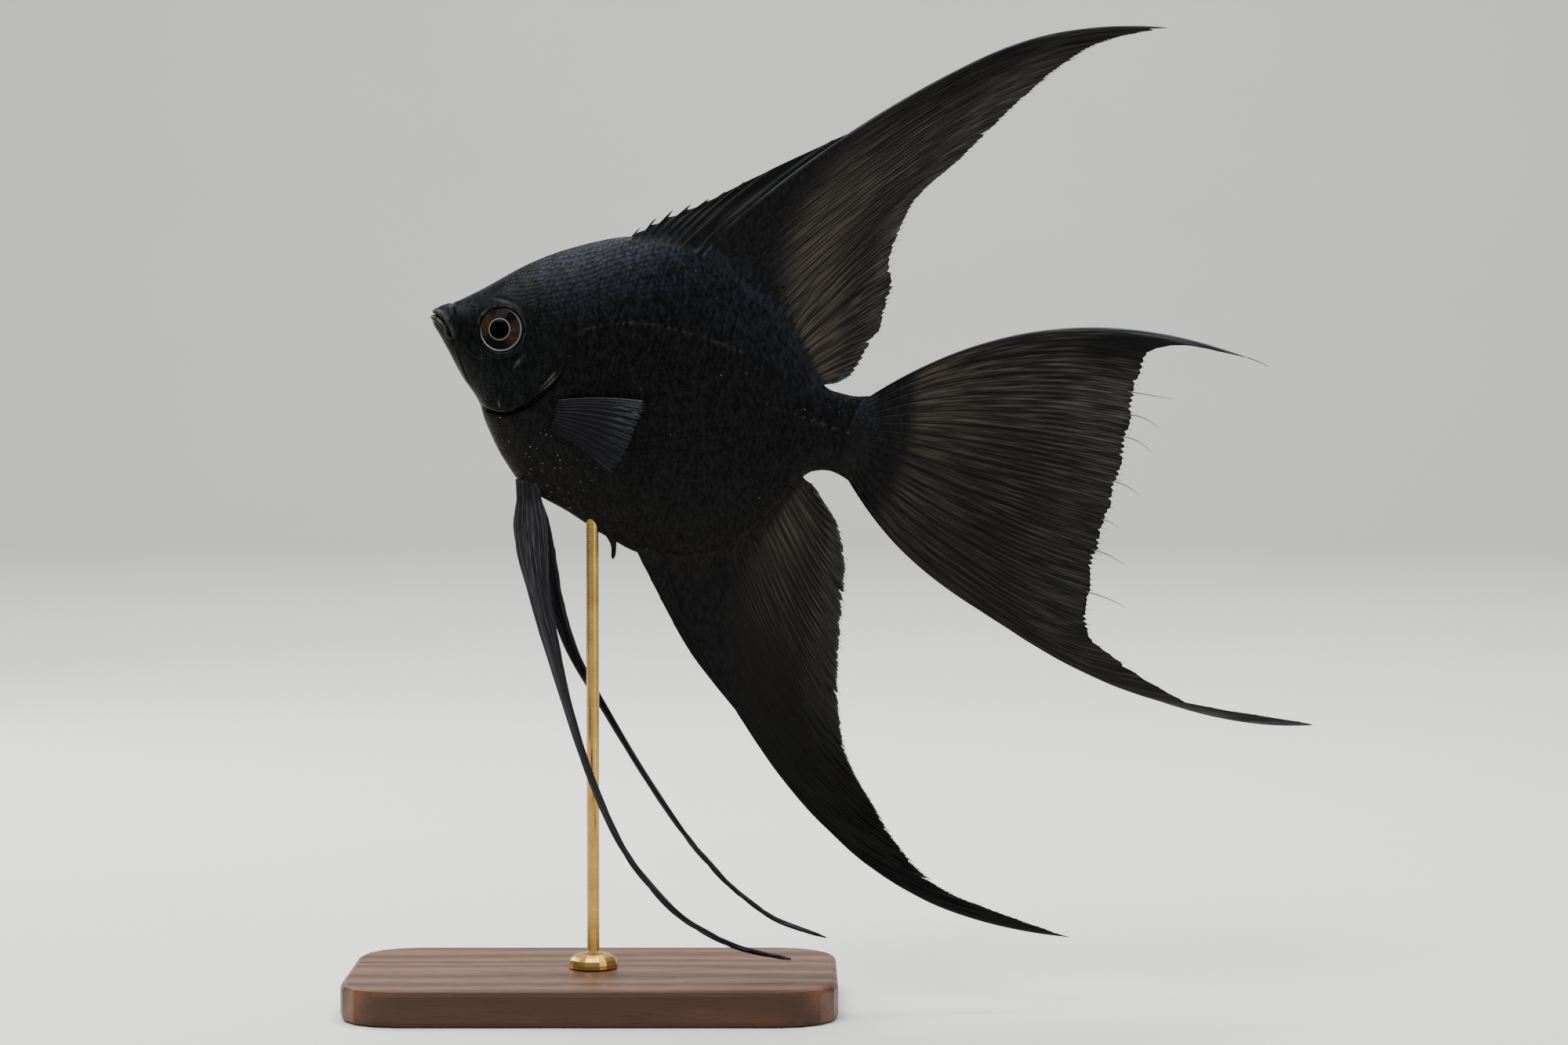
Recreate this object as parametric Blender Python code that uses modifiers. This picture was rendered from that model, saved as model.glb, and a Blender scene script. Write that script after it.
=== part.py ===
"""A black veil-finned freshwater angelfish, life size, as a still museum model on a display stand.

The fish is drawn in its own frame: x runs from the snout to the root of the tail fin, z runs up its side and
y across it. Its dimensions are given in per cent of the standard length, as a description of a species gives
them. One empty then pitches the whole fish head-up and carries it at its height over the stand.
"""

import math

import bmesh
import bpy
import numpy as np

# Size and pose, in metres and radians
STANDARD_LENGTH = 0.090
UNIT = STANDARD_LENGTH / 100
GAP, ROOT_GAP = 0.0003, 0.0005
PITCH = math.radians(16.35)
SNOUT_X, SNOUT_Z = -0.0324, 0.1416

# Stand, in metres: its rod stands on the Z axis, and the underside of its base is at Z = 0
BASE_SIZE = (0.100, 0.058, 0.0075)
BASE_CORNER, BASE_EDGE = 0.012, 0.0012
COLLAR_RADIUS, COLLAR_HEIGHT = 0.0050, 0.0030
ROD_RADIUS, ROD_TOP, SOCKET_TOP = 0.0013, 0.1020, 0.1026

# Outline of the body in the middle plane: (x, z), in per cent of the standard length
BACK = [
    (0, 0.4), (0.6, 1.5), (1.9, 2.7), (3.4, 3.5), (7.8, 7.2), (17.8, 17.0), (24.8, 22.3), (38.9, 29.6),
    (47.8, 31.6), (56.8, 30.2), (66.5, 26.5), (76.8, 20.6), (83.7, 14.4), (88.1, 10.2), (91.6, 8.7),
    (95.7, 8.8), (100, 9.9),
]
BELLY = [
    (0, -0.7), (0.9, -2.4), (2.5, -3.9), (6.1, -7.5), (10, -11.5), (15.6, -16.3), (18.1, -20.0), (25.5, -28.0),
    (30.5, -31.6), (41.5, -34.4), (52.2, -37.5), (60, -38.9), (68.5, -38.6), (76.2, -35.6), (81.6, -30.2),
    (85.5, -24.0), (88.5, -17.0), (92, -10.4), (96.5, -8.9), (100, -9.5),
]
# Half the body's width at its widest level: (x, half width)
BREADTH = [
    (0, 0.6), (0.5, 1.4), (1.6, 2.1), (4, 2.9), (8, 4.0), (12, 5.3), (16, 6.3), (22, 7.4), (30, 8.2), (40, 8.4),
    (52, 7.9), (65, 6.6), (78, 4.9), (88, 3.5), (96, 2.6), (100, 2.2),
]
SECTION_POWER = 2.3
HEAD_ROUNDING, TRUNK_ROUNDING = 0.60, 0.74

# Where the head ends: the nape, the edge of the gill cover and the chin, closed in front of the snout
HEAD_REGION = [
    (-6, 30), (17, 30), (22, 21), (26, 12.5), (30.3, 5), (32.3, 0), (31.4, -5.4), (28.6, -10.7), (25.6, -14.4),
    (21, -16.9), (15.8, -17.2), (8, -19), (-6, -19),
]
UPPER_JAW_REGION = [
    (-3, 7), (2.4, 7), (3.7, 3.4), (4.5, 1.8), (5.6, -0.4), (6.8, -3.2), (6.3, -4.6), (4.9, -2.8), (3.2, -1.1),
    (1.1, -0.3), (-3, -0.2),
]
LOWER_JAW_REGION = [
    (-3, -0.8), (1.1, -0.8), (3.0, -1.8), (4.5, -3.5), (5.9, -5.6), (7.8, -8.0), (10.0, -10.9), (9.6, -14),
    (-3, -14),
]
PEDUNCLE_START = 93.0
GILL_FLARE, LIP_SWELL = 0.45, 0.35

# Eye: centre, radius across, half its thickness, how far its middle lies under the cheek, its turn forwards
EYE_CENTRE, EYE_RADIUS, EYE_DEPTH, EYE_SINK = (15.5, 0.8), 4.7, 2.6, 1.5
EYE_TURN = math.radians(15)

# Rays of each fin, front to back or top to bottom: (root x, tip x, tip z, bow), where the root lies on the
# back or the belly and the bow is the height of the ray's arch as a share of its length
DORSAL_SPINES = [
    (38.8, 39.4, 31.6, 0.02), (41.5, 44.2, 36.6, 0.02), (45.5, 52.5, 42.3, 0.02), (49.5, 61.0, 49.9, 0.02),
    (53.5, 79.6, 67.8, 0.023),
]
DORSAL_RAYS = [
    (54.2, 141.7, 109.1, 0.102), (60, 128.5, 102.0, 0.070), (63.5, 121.5, 94.8, 0.052), (67.6, 115.8, 86.4, 0.045),
    (73.2, 105.6, 68.5, 0.040), (77.7, 97.3, 53.8, 0.035), (80.5, 96.0, 43.0, 0.030), (82.7, 98.4, 34.2, 0.025),
    (85.2, 98.4, 26.5, 0.020), (87.2, 96.8, 19.5, 0.020), (88.6, 95.2, 13.6, 0.020), (89.6, 92.8, 11.0, 0.010),
]
ANAL_SPINES = [
    (59.6, 61.5, -41.2, 0.01), (61.6, 68.0, -48.2, 0.01), (63.4, 77.2, -57.2, 0.01), (65.1, 91.4, -68.4, -0.030),
]
ANAL_RAYS = [
    (65.8, 178.4, -95.0, -0.156), (68.5, 150.0, -93.2, -0.130), (71.5, 137.5, -87.6, -0.090),
    (76.0, 127.5, -79.1, -0.060), (81.0, 117.9, -69.1, -0.045), (84.0, 112.2, -56.0, -0.035),
    (86.5, 108.7, -42.0, -0.030), (89.0, 106.2, -29.5, -0.030), (90.0, 102.0, -20.6, -0.030),
    (90.8, 95.0, -14.3, -0.020),
]
# Tail fin rays start on the rounded end of the body: (root z, tip x, tip z, bow)
TAIL_ROOT_X, TAIL_ROOT_SWELL = 100.4, 0.8
CAUDAL_RAYS = [
    (10.2, 179.4, 42.1, 0.127), (9.6, 166.0, 40.9, 0.110), (8.8, 158.4, 37.2, 0.095), (7.4, 157.4, 30.5, 0.075),
    (5.2, 158.3, 20.8, 0.045), (2.8, 159.1, 10.0, 0.020), (0.4, 159.3, -0.5, -0.005), (-2.0, 159.6, -10.5, -0.030),
    (-4.2, 160.7, -19.4, -0.055), (-6.2, 162.2, -26.6, -0.075), (-7.6, 171.5, -31.4, -0.090),
    (-8.6, 190.0, -35.6, -0.098), (-9.5, 219.3, -32.3, -0.108),
]
# Where along its length each fin's rays arch most, and how flat the arch is on the first and on the last ray
DORSAL_ARCH, ANAL_ARCH, CAUDAL_ARCH, SPINE_ARCH = (0.65, 2, 2), (0.60, 2, 2), (0.50, 2, 3), (0.5, 2, 2)
# Half thickness at root and margin
FIN_ROOT, FIN_MARGIN = 1.1, 0.36
# Ray counts, and how deep the margin is notched between two rays, as a share of the ray
DORSAL_COUNT, ANAL_COUNT, CAUDAL_COUNT = 24, 25, 17
SPINE_COUNT, ANAL_SPINE_COUNT = 9, 6
MARGIN_NOTCH, SPINE_NOTCH = 0.012, 0.16

# Pelvic fins: middle line (x, z) from root to tip, width across, and how far out each stands
PELVIC_NEAR = [
    (32.6, -34.0), (35.9, -43.0), (40.2, -52.6), (47.6, -65.6), (56.1, -79.4), (66.2, -93.6), (79.1, -107.0),
    (95.5, -116.0), (108.0, -117.9), (118.8, -117.0),
]
PELVIC_FAR = [
    (34.2, -34.0), (40.0, -43.0), (45.8, -53.2), (53.1, -64.0), (65.7, -76.6), (79.8, -89.6), (92.6, -100.2),
    (105.1, -107.9), (115.8, -111.6), (126.0, -112.3),
]
PELVIC_WIDTH = [
    (0.0, 4.2), (0.07, 6.6), (0.15, 7.4), (0.24, 6.0), (0.34, 4.0), (0.44, 2.5), (0.60, 1.7), (0.80, 1.1), (1.0, 0.6),
]
PELVIC_ROOT_OUT, PELVIC_TIP_OUT = 1.5, 8.0

# Pectoral fins: rays (root z, tip x, tip z), the root's x, and the turn of the fin away from the flank
PECTORAL_ROOT_X = 33.4
PECTORAL_RAYS = [
    (-11.0, 51.8, -6.4), (-12.4, 52.2, -9.0), (-14.0, 51.7, -14.0), (-15.6, 51.4, -19.4), (-17.3, 49.7, -24.4),
]
PECTORAL_COUNT, PECTORAL_TURN, PECTORAL_BOW = 11, 0.30, 0.03

# Genital papilla: root and tip (x, z), radius at each
PAPILLA = [(52.9, -38.3), (54.6, -42.0)]
PAPILLA_RADII = (0.75, 0.35)

# Mesh steps
BODY_STATIONS, BODY_LEVELS = 38, 12
STATION_CROWDING = 1.35
REGION_STEPS = 3


def smooth(keys, values, at):
    """Cubic curve through values at keys, with no overshoot between them, read at the places in at."""
    keys, values = np.asarray(keys, float), np.asarray(values, float)
    at = np.clip(at, keys[0], keys[-1])
    steps = np.diff(keys)
    slopes = np.diff(values) / steps
    tangents = np.zeros_like(values)
    tangents[0], tangents[-1] = slopes[0], slopes[-1]
    before, after = slopes[:-1], slopes[1:]
    rising = before * after > 0
    weight = (2 * steps[1:] + steps[:-1], steps[1:] + 2 * steps[:-1])
    safe_before, safe_after = np.where(rising, before, 1.0), np.where(rising, after, 1.0)
    mean = (weight[0] + weight[1]) / (weight[0] / safe_before + weight[1] / safe_after)
    tangents[1:-1] = np.where(rising, mean, 0.0)
    i = np.clip(np.searchsorted(keys, at, side="right") - 1, 0, len(steps) - 1)
    t = (at - keys[i]) / steps[i]
    return (
        (1 + 2 * t) * (1 - t) ** 2 * values[i]
        + t * (1 - t) ** 2 * steps[i] * tangents[i]
        + t * t * (3 - 2 * t) * values[i + 1]
        + t * t * (t - 1) * steps[i] * tangents[i + 1]
    )


def along(line, at):
    """Reads a list of (key, value) pairs as a smooth curve."""
    keys, values = zip(*line)
    return smooth(keys, values, at)


def half_width(x, z, swell=0.0):
    """Half the body's width at (x, z), zero on its outline."""
    top, bottom = along(BACK, x), along(BELLY, x)
    level = np.clip(abs(2 * z - top - bottom) / (top - bottom), 0, 1)
    rounding = HEAD_ROUNDING + (TRUNK_ROUNDING - HEAD_ROUNDING) * np.clip((x - 15) / 30, 0, 1)
    return (along(BREADTH, x) + swell) * (1 - level**SECTION_POWER) ** rounding


def outline_point(line, x, out):
    """Point on the back or the belly at x, moved out from the body by a distance."""
    step = 0.2
    slope = (along(line, x + step) - along(line, x - step)) / (2 * step)
    side = 1 if line is BACK else -1
    scale = out / math.hypot(1, slope)
    return x - side * slope * scale, along(line, x) + side * scale


def new_object(name, mesh, collection, parent=None):
    """Links a mesh as a named object, under the fish's empty if one is given."""
    made = bpy.data.objects.new(name, mesh)
    collection.objects.link(made)
    made.parent = parent
    return made


def mesh_from(name, bm, scale=UNIT, closed=True):
    """Ends a bmesh drawn in per cent units and returns its mesh, with normals out and smooth shading."""
    if closed:
        bm.normal_update()
        bmesh.ops.recalc_face_normals(bm, faces=bm.faces)
    bmesh.ops.scale(bm, vec=(scale, scale, scale), verts=bm.verts)
    mesh = bpy.data.meshes.new(name)
    bm.to_mesh(mesh)
    bm.free()
    mesh.shade_smooth()
    mesh.set_sharp_from_angle(angle=math.radians(50))
    return mesh


def material(name, colour, roughness, metallic=0.0):
    """A Principled BSDF material."""
    made = bpy.data.materials.new(name)
    made.use_nodes = True
    shader = made.node_tree.nodes["Principled BSDF"]
    shader.inputs["Base Color"].default_value = (*colour, 1)
    shader.inputs["Roughness"].default_value = roughness
    shader.inputs["Metallic"].default_value = metallic
    return made


def grid_mesh(name, columns, rows, place):
    """An open sheet of quads, whose vertex at the shares (a, b) goes to place(a, b), in per cent units."""
    bm = bmesh.new()
    bmesh.ops.create_grid(bm, x_segments=columns, y_segments=rows, size=0.5)
    for vertex in bm.verts:
        vertex.co = place(vertex.co.x + 0.5, vertex.co.y + 0.5)
    bmesh.ops.remove_doubles(bm, verts=bm.verts, dist=1e-4)
    return mesh_from(name, bm, closed=False)


def body_mesh(name, swell):
    """The left half of the body, open at the middle plane, with the width added that swell(x) gives."""

    def place(a, b):
        x = 100 * min(a * BODY_STATIONS / (BODY_STATIONS - 1), 1) ** STATION_CROWDING
        top, bottom = along(BACK, x), along(BELLY, x)
        z = (top + bottom) / 2 + (top - bottom) / 2 * math.cos(math.pi * b)
        at_an_end = a < 0.5 / BODY_STATIONS or a > 1 - 0.5 / BODY_STATIONS
        return x, 0 if at_an_end else half_width(x, z, swell(x)), z

    return grid_mesh(name, BODY_STATIONS, BODY_LEVELS, place)


def boolean(piece, operation, cutter):
    """Adds a Boolean modifier."""
    modifier = piece.modifiers.new(cutter.name, "BOOLEAN")
    modifier.operation = operation
    modifier.object = cutter


def body_piece(name, swell, look, keep=(), cut=()):
    """A node of the body: the mirrored half, kept inside some cutters and cut by others."""
    piece = new_object(name, body_mesh(name, swell), PARTS, FISH)
    mirror = piece.modifiers.new("Mirror", "MIRROR")
    mirror.use_axis = (False, True, False)
    mirror.merge_threshold = 1e-6
    for cutter in keep:
        boolean(piece, "INTERSECT", cutter)
    for cutter in cut:
        boolean(piece, "DIFFERENCE", cutter)
    piece.data.materials.append(look)
    return piece


def region(name, corners, grow):
    """A cutter through the whole fish: a rounded outline in the side view, grown by a distance in metres."""
    points = np.array([corners[-1], *corners, corners[0], corners[1]], float)
    line = []
    for p0, p1, p2, p3 in zip(points, points[1:], points[2:], points[3:]):
        for t in np.arange(REGION_STEPS) / REGION_STEPS:
            line.append(p1 + t * (p2 - p0) / 2 + t * t * (p0 - 2.5 * p1 + 2 * p2 - p3 / 2)
                        + t**3 * (1.5 * (p1 - p2) + (p3 - p0) / 2))
    line = np.array(line)
    tangent = np.roll(line, -1, axis=0) - np.roll(line, 1, axis=0)
    outward = np.stack([-tangent[:, 1], tangent[:, 0]], axis=1)
    line += grow / UNIT * outward / np.linalg.norm(outward, axis=1, keepdims=True)
    bm = bmesh.new()
    depth = 20
    face = bm.faces.new([bm.verts.new((x, -depth, z)) for x, z in line])
    pushed = bmesh.ops.extrude_face_region(bm, geom=[face])["geom"]
    bmesh.ops.translate(bm, vec=(0, 2 * depth, 0), verts=[v for v in pushed if isinstance(v, bmesh.types.BMVert)])
    return cutter(name, mesh_from(name, bm))


def cutter(name, mesh):
    """A hidden helper in the fish's frame."""
    made = new_object(name, mesh, CUTTERS, FISH)
    made.hide_render = True
    made.display_type = "WIRE"
    return made


def ball(name, radius, depth, side):
    """Mesh of an eye or its socket: a flattened ball at the eye's place on one side of the head."""
    bm = bmesh.new()
    bmesh.ops.create_uvsphere(bm, u_segments=16, v_segments=8, radius=1)
    x, z = EYE_CENTRE
    y = half_width(x, z) - EYE_SINK
    turn, rise = -side * EYE_TURN, side * y
    for vertex in bm.verts:
        across, high, deep = vertex.co.x * radius, vertex.co.y * radius, vertex.co.z * depth
        vertex.co = (
            x + across * math.cos(turn) - deep * math.sin(turn),
            rise + across * math.sin(turn) + deep * math.cos(turn),
            z + high,
        )
    return mesh_from(name, bm)


def make_eyes(look):
    """Both eyes, and the cutters of their sockets."""
    sockets = []
    for side, label in ((-1, "left"), (1, "right")):
        eye = new_object(f"eye_{label}", ball(f"eye_{label}", EYE_RADIUS, EYE_DEPTH, side), PARTS, FISH)
        eye.data.materials.append(look)
        margin = GAP / UNIT
        shape = ball(f"socket_{label}", EYE_RADIUS + margin, EYE_DEPTH + margin, side)
        sockets.append(cutter(f"socket_{label}", shape))
    return sockets


def make_body(flesh, eye_look):
    """Head, jaws, trunk and tail root, parted by thin cuts."""
    half = GAP / 2
    head_in, head_out = region("head_in", HEAD_REGION, -half), region("head_out", HEAD_REGION, half)
    tail = [(PEDUNCLE_START, -40), (PEDUNCLE_START, 40), (120, 40), (120, -40)]
    tail_in, tail_out = region("tail_in", tail, -half), region("tail_out", tail, half)
    upper = region("upper_in", UPPER_JAW_REGION, 0), region("upper_out", UPPER_JAW_REGION, GAP)
    lower = region("lower_in", LOWER_JAW_REGION, 0), region("lower_out", LOWER_JAW_REGION, GAP)
    sockets = make_eyes(eye_look)

    def flare(x):
        return GILL_FLARE * np.clip((x - 16) / 14, 0, 1)

    def lips(x):
        return LIP_SWELL * np.clip(1 - x / 9, 0, 1)

    def plain(_):
        return 0

    body_piece("head", flare, flesh, [head_in], [upper[1], lower[1], *sockets])
    body_piece("upper_jaw", lips, flesh, [upper[0]])
    body_piece("lower_jaw", lips, flesh, [lower[0]])
    body_piece("trunk", plain, flesh, [], [head_out, tail_out, make_rod_socket()])
    body_piece("tail_root", plain, flesh, [tail_in])


def fin_ray(rays, line, at):
    """Root point, tip point and bow of the ray at a share of the way from the first ray to the last."""
    first, tip_x, tip_z, bow = np.array(rays, float).T
    place = (first - first[0]) / (first[-1] - first[0])
    start = smooth(place, first, at)
    out = ROOT_GAP / UNIT
    if line is None:
        bulge = TAIL_ROOT_SWELL * (1 - (start / first[0]) ** 2)
        root = TAIL_ROOT_X + bulge, start
    else:
        root = outline_point(line, start, out)
    return root, (smooth(place, tip_x, at), smooth(place, tip_z, at)), smooth(place, bow, at)


def ray_point(root, tip, bow, share, peak=0.5, flatness=2.0):
    """Point at a share of a bowed ray, which arches most at its peak."""
    arch = 1 - abs((share - peak) / (peak if share < peak else 1 - peak)) ** flatness
    dx, dz = tip[0] - root[0], tip[1] - root[1]
    return root[0] + share * dx - bow * arch * dz, root[1] + share * dz + bow * arch * dx


def fin_piece(name, rays, line, arch, count, rows, notch, sway, look):
    """A median fin: a sheet of rays with a notched margin, made solid by Solidify, thinning to its margin."""

    peak, first, last = arch
    drift, wave, turns = sway

    def place(a, b):
        between = abs(math.cos(math.pi * count * a))
        root, tip, bow = fin_ray(rays, line, a)
        share = b * (1 - notch * (1 - between))
        x, z = ray_point(root, tip, bow, share, peak, first + (last - first) * a)
        y = drift * share**2 + wave * share * math.sin(2 * math.pi * turns * a)
        return x, y, z

    sheet = grid_mesh(name, 2 * count, rows, place)
    piece = new_object(name, sheet, PARTS, FISH)
    thin = piece.vertex_groups.new(name="thickness")
    step = 2 * count + 1
    for vertex in sheet.vertices:
        share = vertex.index // step / rows
        thin.add([vertex.index], FIN_MARGIN / FIN_ROOT + (1 - FIN_MARGIN / FIN_ROOT) * (1 - share) ** 3, "REPLACE")
    solidify(piece, 2 * FIN_ROOT * UNIT, "thickness")
    piece.data.materials.append(look)


def solidify(piece, thickness, group=""):
    """Adds a Solidify modifier that thickens a sheet evenly to both sides."""
    modifier = piece.modifiers.new("Solidify", "SOLIDIFY")
    modifier.thickness = thickness
    modifier.offset = 0
    modifier.vertex_group = group


def make_median_fins(fin, web):
    """Dorsal, anal and tail fins with their spines."""
    fin_piece("dorsal_spines", DORSAL_SPINES, BACK, SPINE_ARCH, SPINE_COUNT, 3, SPINE_NOTCH, (0, 0.2, 1), web)
    fin_piece("dorsal_fin", DORSAL_RAYS, BACK, DORSAL_ARCH, DORSAL_COUNT, 6, MARGIN_NOTCH, (5, 1.2, 1.5), fin)
    fin_piece("anal_spines", ANAL_SPINES, BELLY, SPINE_ARCH, ANAL_SPINE_COUNT, 3, SPINE_NOTCH / 3, (0, 0.2, 1), web)
    fin_piece("anal_fin", ANAL_RAYS, BELLY, ANAL_ARCH, ANAL_COUNT, 6, MARGIN_NOTCH, (-4, 1.2, 1.5), fin)
    fin_piece("tail_fin", CAUDAL_RAYS, None, CAUDAL_ARCH, CAUDAL_COUNT, 9, MARGIN_NOTCH, (-6, 1.8, 2), fin)


def pelvic_point(line, share, across, side):
    """Point of a pelvic fin at a share of its length and a share across it, in front or behind its middle."""
    keys = np.linspace(0, 1, len(line))
    xs, zs = zip(*line)
    step = 0.01
    x, z = smooth(keys, xs, share), smooth(keys, zs, share)
    ahead = np.array([smooth(keys, xs, share + step) - smooth(keys, xs, share - step),
                      smooth(keys, zs, share + step) - smooth(keys, zs, share - step)])
    ahead /= np.linalg.norm(ahead)
    width = along(PELVIC_WIDTH, share)
    y = side * (PELVIC_ROOT_OUT + (PELVIC_TIP_OUT - PELVIC_ROOT_OUT) * share**0.8)
    return x - ahead[1] * across * width, y, z + ahead[0] * across * width


def make_pelvic_fin(label, line, side, look):
    """One pelvic fin, its blade and its long trailing ray."""
    name = f"pelvic_fin_{label}"

    def place(a, b):
        return pelvic_point(line, b, a - 0.5, side)

    piece = new_object(name, grid_mesh(name, 2, 22, place), PARTS, FISH)
    solidify(piece, 0.0007)
    piece.data.materials.append(look)


def make_pectoral_fin(label, side, look):
    """One pectoral fin, fanned out from the flank behind the gill cover."""
    root_z, tip_x, tip_z = np.array(PECTORAL_RAYS).T
    keys = np.linspace(0, 1, len(root_z))

    def place(a, b):
        between = abs(math.cos(math.pi * PECTORAL_COUNT * a))
        start = PECTORAL_ROOT_X, smooth(keys, root_z, a)
        end = smooth(keys, tip_x, a), smooth(keys, tip_z, a)
        x, z = ray_point(start, end, PECTORAL_BOW, b * (1 - PECTORAL_BOW * (1 - between)))
        y = half_width(*start) + 2 * GAP / UNIT + 0.4 + (x - PECTORAL_ROOT_X) * PECTORAL_TURN
        return x, side * y, z

    name = f"pectoral_fin_{label}"
    piece = new_object(name, grid_mesh(name, PECTORAL_COUNT, 4, place), PARTS, FISH)
    solidify(piece, 0.0006)
    piece.data.materials.append(look)


def make_papilla(look):
    """The small genital tube behind the belly."""
    (x0, z0), (x1, z1) = PAPILLA
    bm = bmesh.new()
    length = math.hypot(x1 - x0, z1 - z0)
    bmesh.ops.create_cone(bm, cap_ends=True, segments=12, radius1=PAPILLA_RADII[0],
                          radius2=PAPILLA_RADII[1], depth=length)
    piece = new_object("vent_papilla", mesh_from("vent_papilla", bm), PARTS, FISH)
    piece.location = (UNIT * (x0 + x1) / 2, 0, UNIT * (z0 + z1) / 2)
    piece.rotation_euler = (0, math.atan2(x1 - x0, z1 - z0), 0)
    piece.data.materials.append(look)


def cylinder(name, collection, radius, low, high, segments=32):
    """An upright cylinder on the Z axis."""
    bm = bmesh.new()
    bmesh.ops.create_cone(bm, cap_ends=True, segments=segments, radius1=radius, radius2=radius, depth=high - low)
    made = new_object(name, mesh_from(name, bm, 1), collection)
    made.location.z = (low + high) / 2
    return made


def make_rod_socket():
    """The cutter of the blind hole in the belly that takes the rod."""
    made = cylinder("rod_socket", CUTTERS, ROD_RADIUS + GAP, 0.08, SOCKET_TOP)
    made.hide_render = True
    made.display_type = "WIRE"
    return made


def make_stand(wood, metal):
    """Base, collar and rod."""
    bm = bmesh.new()
    bmesh.ops.create_cube(bm, size=1)
    bmesh.ops.scale(bm, vec=BASE_SIZE, verts=bm.verts)
    upright = [e for e in bm.edges if abs(e.verts[0].co.z - e.verts[1].co.z) > BASE_SIZE[2] / 2]
    bmesh.ops.bevel(bm, geom=upright, offset=BASE_CORNER, segments=4, profile=0.5, affect="EDGES")
    base = new_object("stand_base", mesh_from("stand_base", bm, 1), PARTS)
    base.location.z = BASE_SIZE[2] / 2
    edge = base.modifiers.new("Bevel", "BEVEL")
    edge.width = BASE_EDGE
    edge.segments = 2
    edge.limit_method = "ANGLE"
    base.data.materials.append(wood)

    foot = BASE_SIZE[2] + GAP
    collar = new_object("stand_collar", bpy.data.meshes.new("stand_collar"), PARTS)
    profile = [(0, foot + COLLAR_HEIGHT), (ROD_RADIUS * 1.6, foot + COLLAR_HEIGHT)]
    for quarter in np.linspace(0, math.pi / 2, 5):
        drop = COLLAR_HEIGHT * 0.7 * (1 - math.cos(quarter))
        reach = (COLLAR_RADIUS - ROD_RADIUS * 1.6) * math.sin(quarter)
        profile.append((ROD_RADIUS * 1.6 + reach, foot + COLLAR_HEIGHT - 1e-4 - drop))
    profile += [(COLLAR_RADIUS, foot), (0, foot)]
    collar.data.from_pydata([(r, 0, z) for r, z in profile], [(i, i + 1) for i in range(len(profile) - 1)], [])
    screw = collar.modifiers.new("Screw", "SCREW")
    screw.steps = screw.render_steps = 20
    screw.use_merge_vertices = True
    screw.merge_threshold = 1e-5
    collar.data.materials.append(metal)

    rod = cylinder("stand_rod", PARTS, ROD_RADIUS, foot + COLLAR_HEIGHT + GAP, ROD_TOP, 24)
    rod.data.materials.append(metal)


def main():
    """Builds the fish and its stand."""
    flesh = material("black_skin", (0.012, 0.012, 0.016), 0.45)
    fin = material("dusky_fin", (0.035, 0.030, 0.027), 0.50)
    web = material("dark_web", (0.014, 0.014, 0.018), 0.45)
    eye = material("eye", (0.020, 0.012, 0.008), 0.08)
    wood = material("walnut", (0.130, 0.065, 0.035), 0.45)
    metal = material("brass", (0.600, 0.430, 0.180), 0.25, 1.0)
    make_body(flesh, eye)
    make_median_fins(fin, web)
    make_pelvic_fin("left", PELVIC_NEAR, -1, fin)
    make_pelvic_fin("right", PELVIC_FAR, 1, fin)
    make_pectoral_fin("left", -1, fin)
    make_pectoral_fin("right", 1, fin)
    make_papilla(flesh)
    make_stand(wood, metal)


for old in list(bpy.data.objects):
    bpy.data.objects.remove(old)
PARTS = bpy.data.collections.new("angelfish")
CUTTERS = bpy.data.collections.new("cutters")
bpy.context.scene.collection.children.link(PARTS)
bpy.context.scene.collection.children.link(CUTTERS)
FISH = bpy.data.objects.new("fish_frame", None)
PARTS.objects.link(FISH)
FISH.location = (SNOUT_X, 0, SNOUT_Z)
FISH.rotation_euler = (0, PITCH, 0)
main()
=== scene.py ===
"""The looks of a black veil-finned freshwater angelfish, life size, on its display stand.

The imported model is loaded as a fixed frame. One skin covers the flesh, small scales lie over it in rows,
each fin is a thin web between branching rays, and the eyes sit in the head under its brow. The fish is drawn
in its own frame, as its solids are: x runs from the snout to the root of the tail fin, y across and z up its
side, in per cent of the standard length, and every piece is then placed by the fish's one pose. Sizes named
in mm are turned to that unit by MM, and the offsets of relief along a line are in mm too.
"""

import logging
import math
from collections.abc import Callable, Iterable, Sequence
from dataclasses import dataclass, field
from enum import Enum
from typing import Any, ClassVar

import bpy
import numpy as np
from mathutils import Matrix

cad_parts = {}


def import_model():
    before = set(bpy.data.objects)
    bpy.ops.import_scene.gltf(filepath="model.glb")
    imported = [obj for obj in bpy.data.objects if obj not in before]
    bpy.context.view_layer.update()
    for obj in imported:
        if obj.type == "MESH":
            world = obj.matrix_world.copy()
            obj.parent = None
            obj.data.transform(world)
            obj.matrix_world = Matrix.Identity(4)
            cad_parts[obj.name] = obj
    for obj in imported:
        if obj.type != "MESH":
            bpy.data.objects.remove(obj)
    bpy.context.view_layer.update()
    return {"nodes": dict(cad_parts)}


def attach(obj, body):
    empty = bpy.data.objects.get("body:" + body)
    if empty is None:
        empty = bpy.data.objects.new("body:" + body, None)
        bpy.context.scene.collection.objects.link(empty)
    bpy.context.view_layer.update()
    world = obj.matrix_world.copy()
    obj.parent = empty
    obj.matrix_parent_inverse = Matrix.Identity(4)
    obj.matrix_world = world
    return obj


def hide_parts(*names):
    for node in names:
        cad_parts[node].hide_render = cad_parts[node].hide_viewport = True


LOG = logging.getLogger("angelfish")

Array = np.ndarray
Pairs = Sequence[tuple[float, float]]
Ray = tuple[float, float, float, float]
Point = tuple[float, float, float]
Colour = tuple[float, float, float, float]
Tree = bpy.types.NodeTree
Socket = bpy.types.NodeSocket

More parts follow.
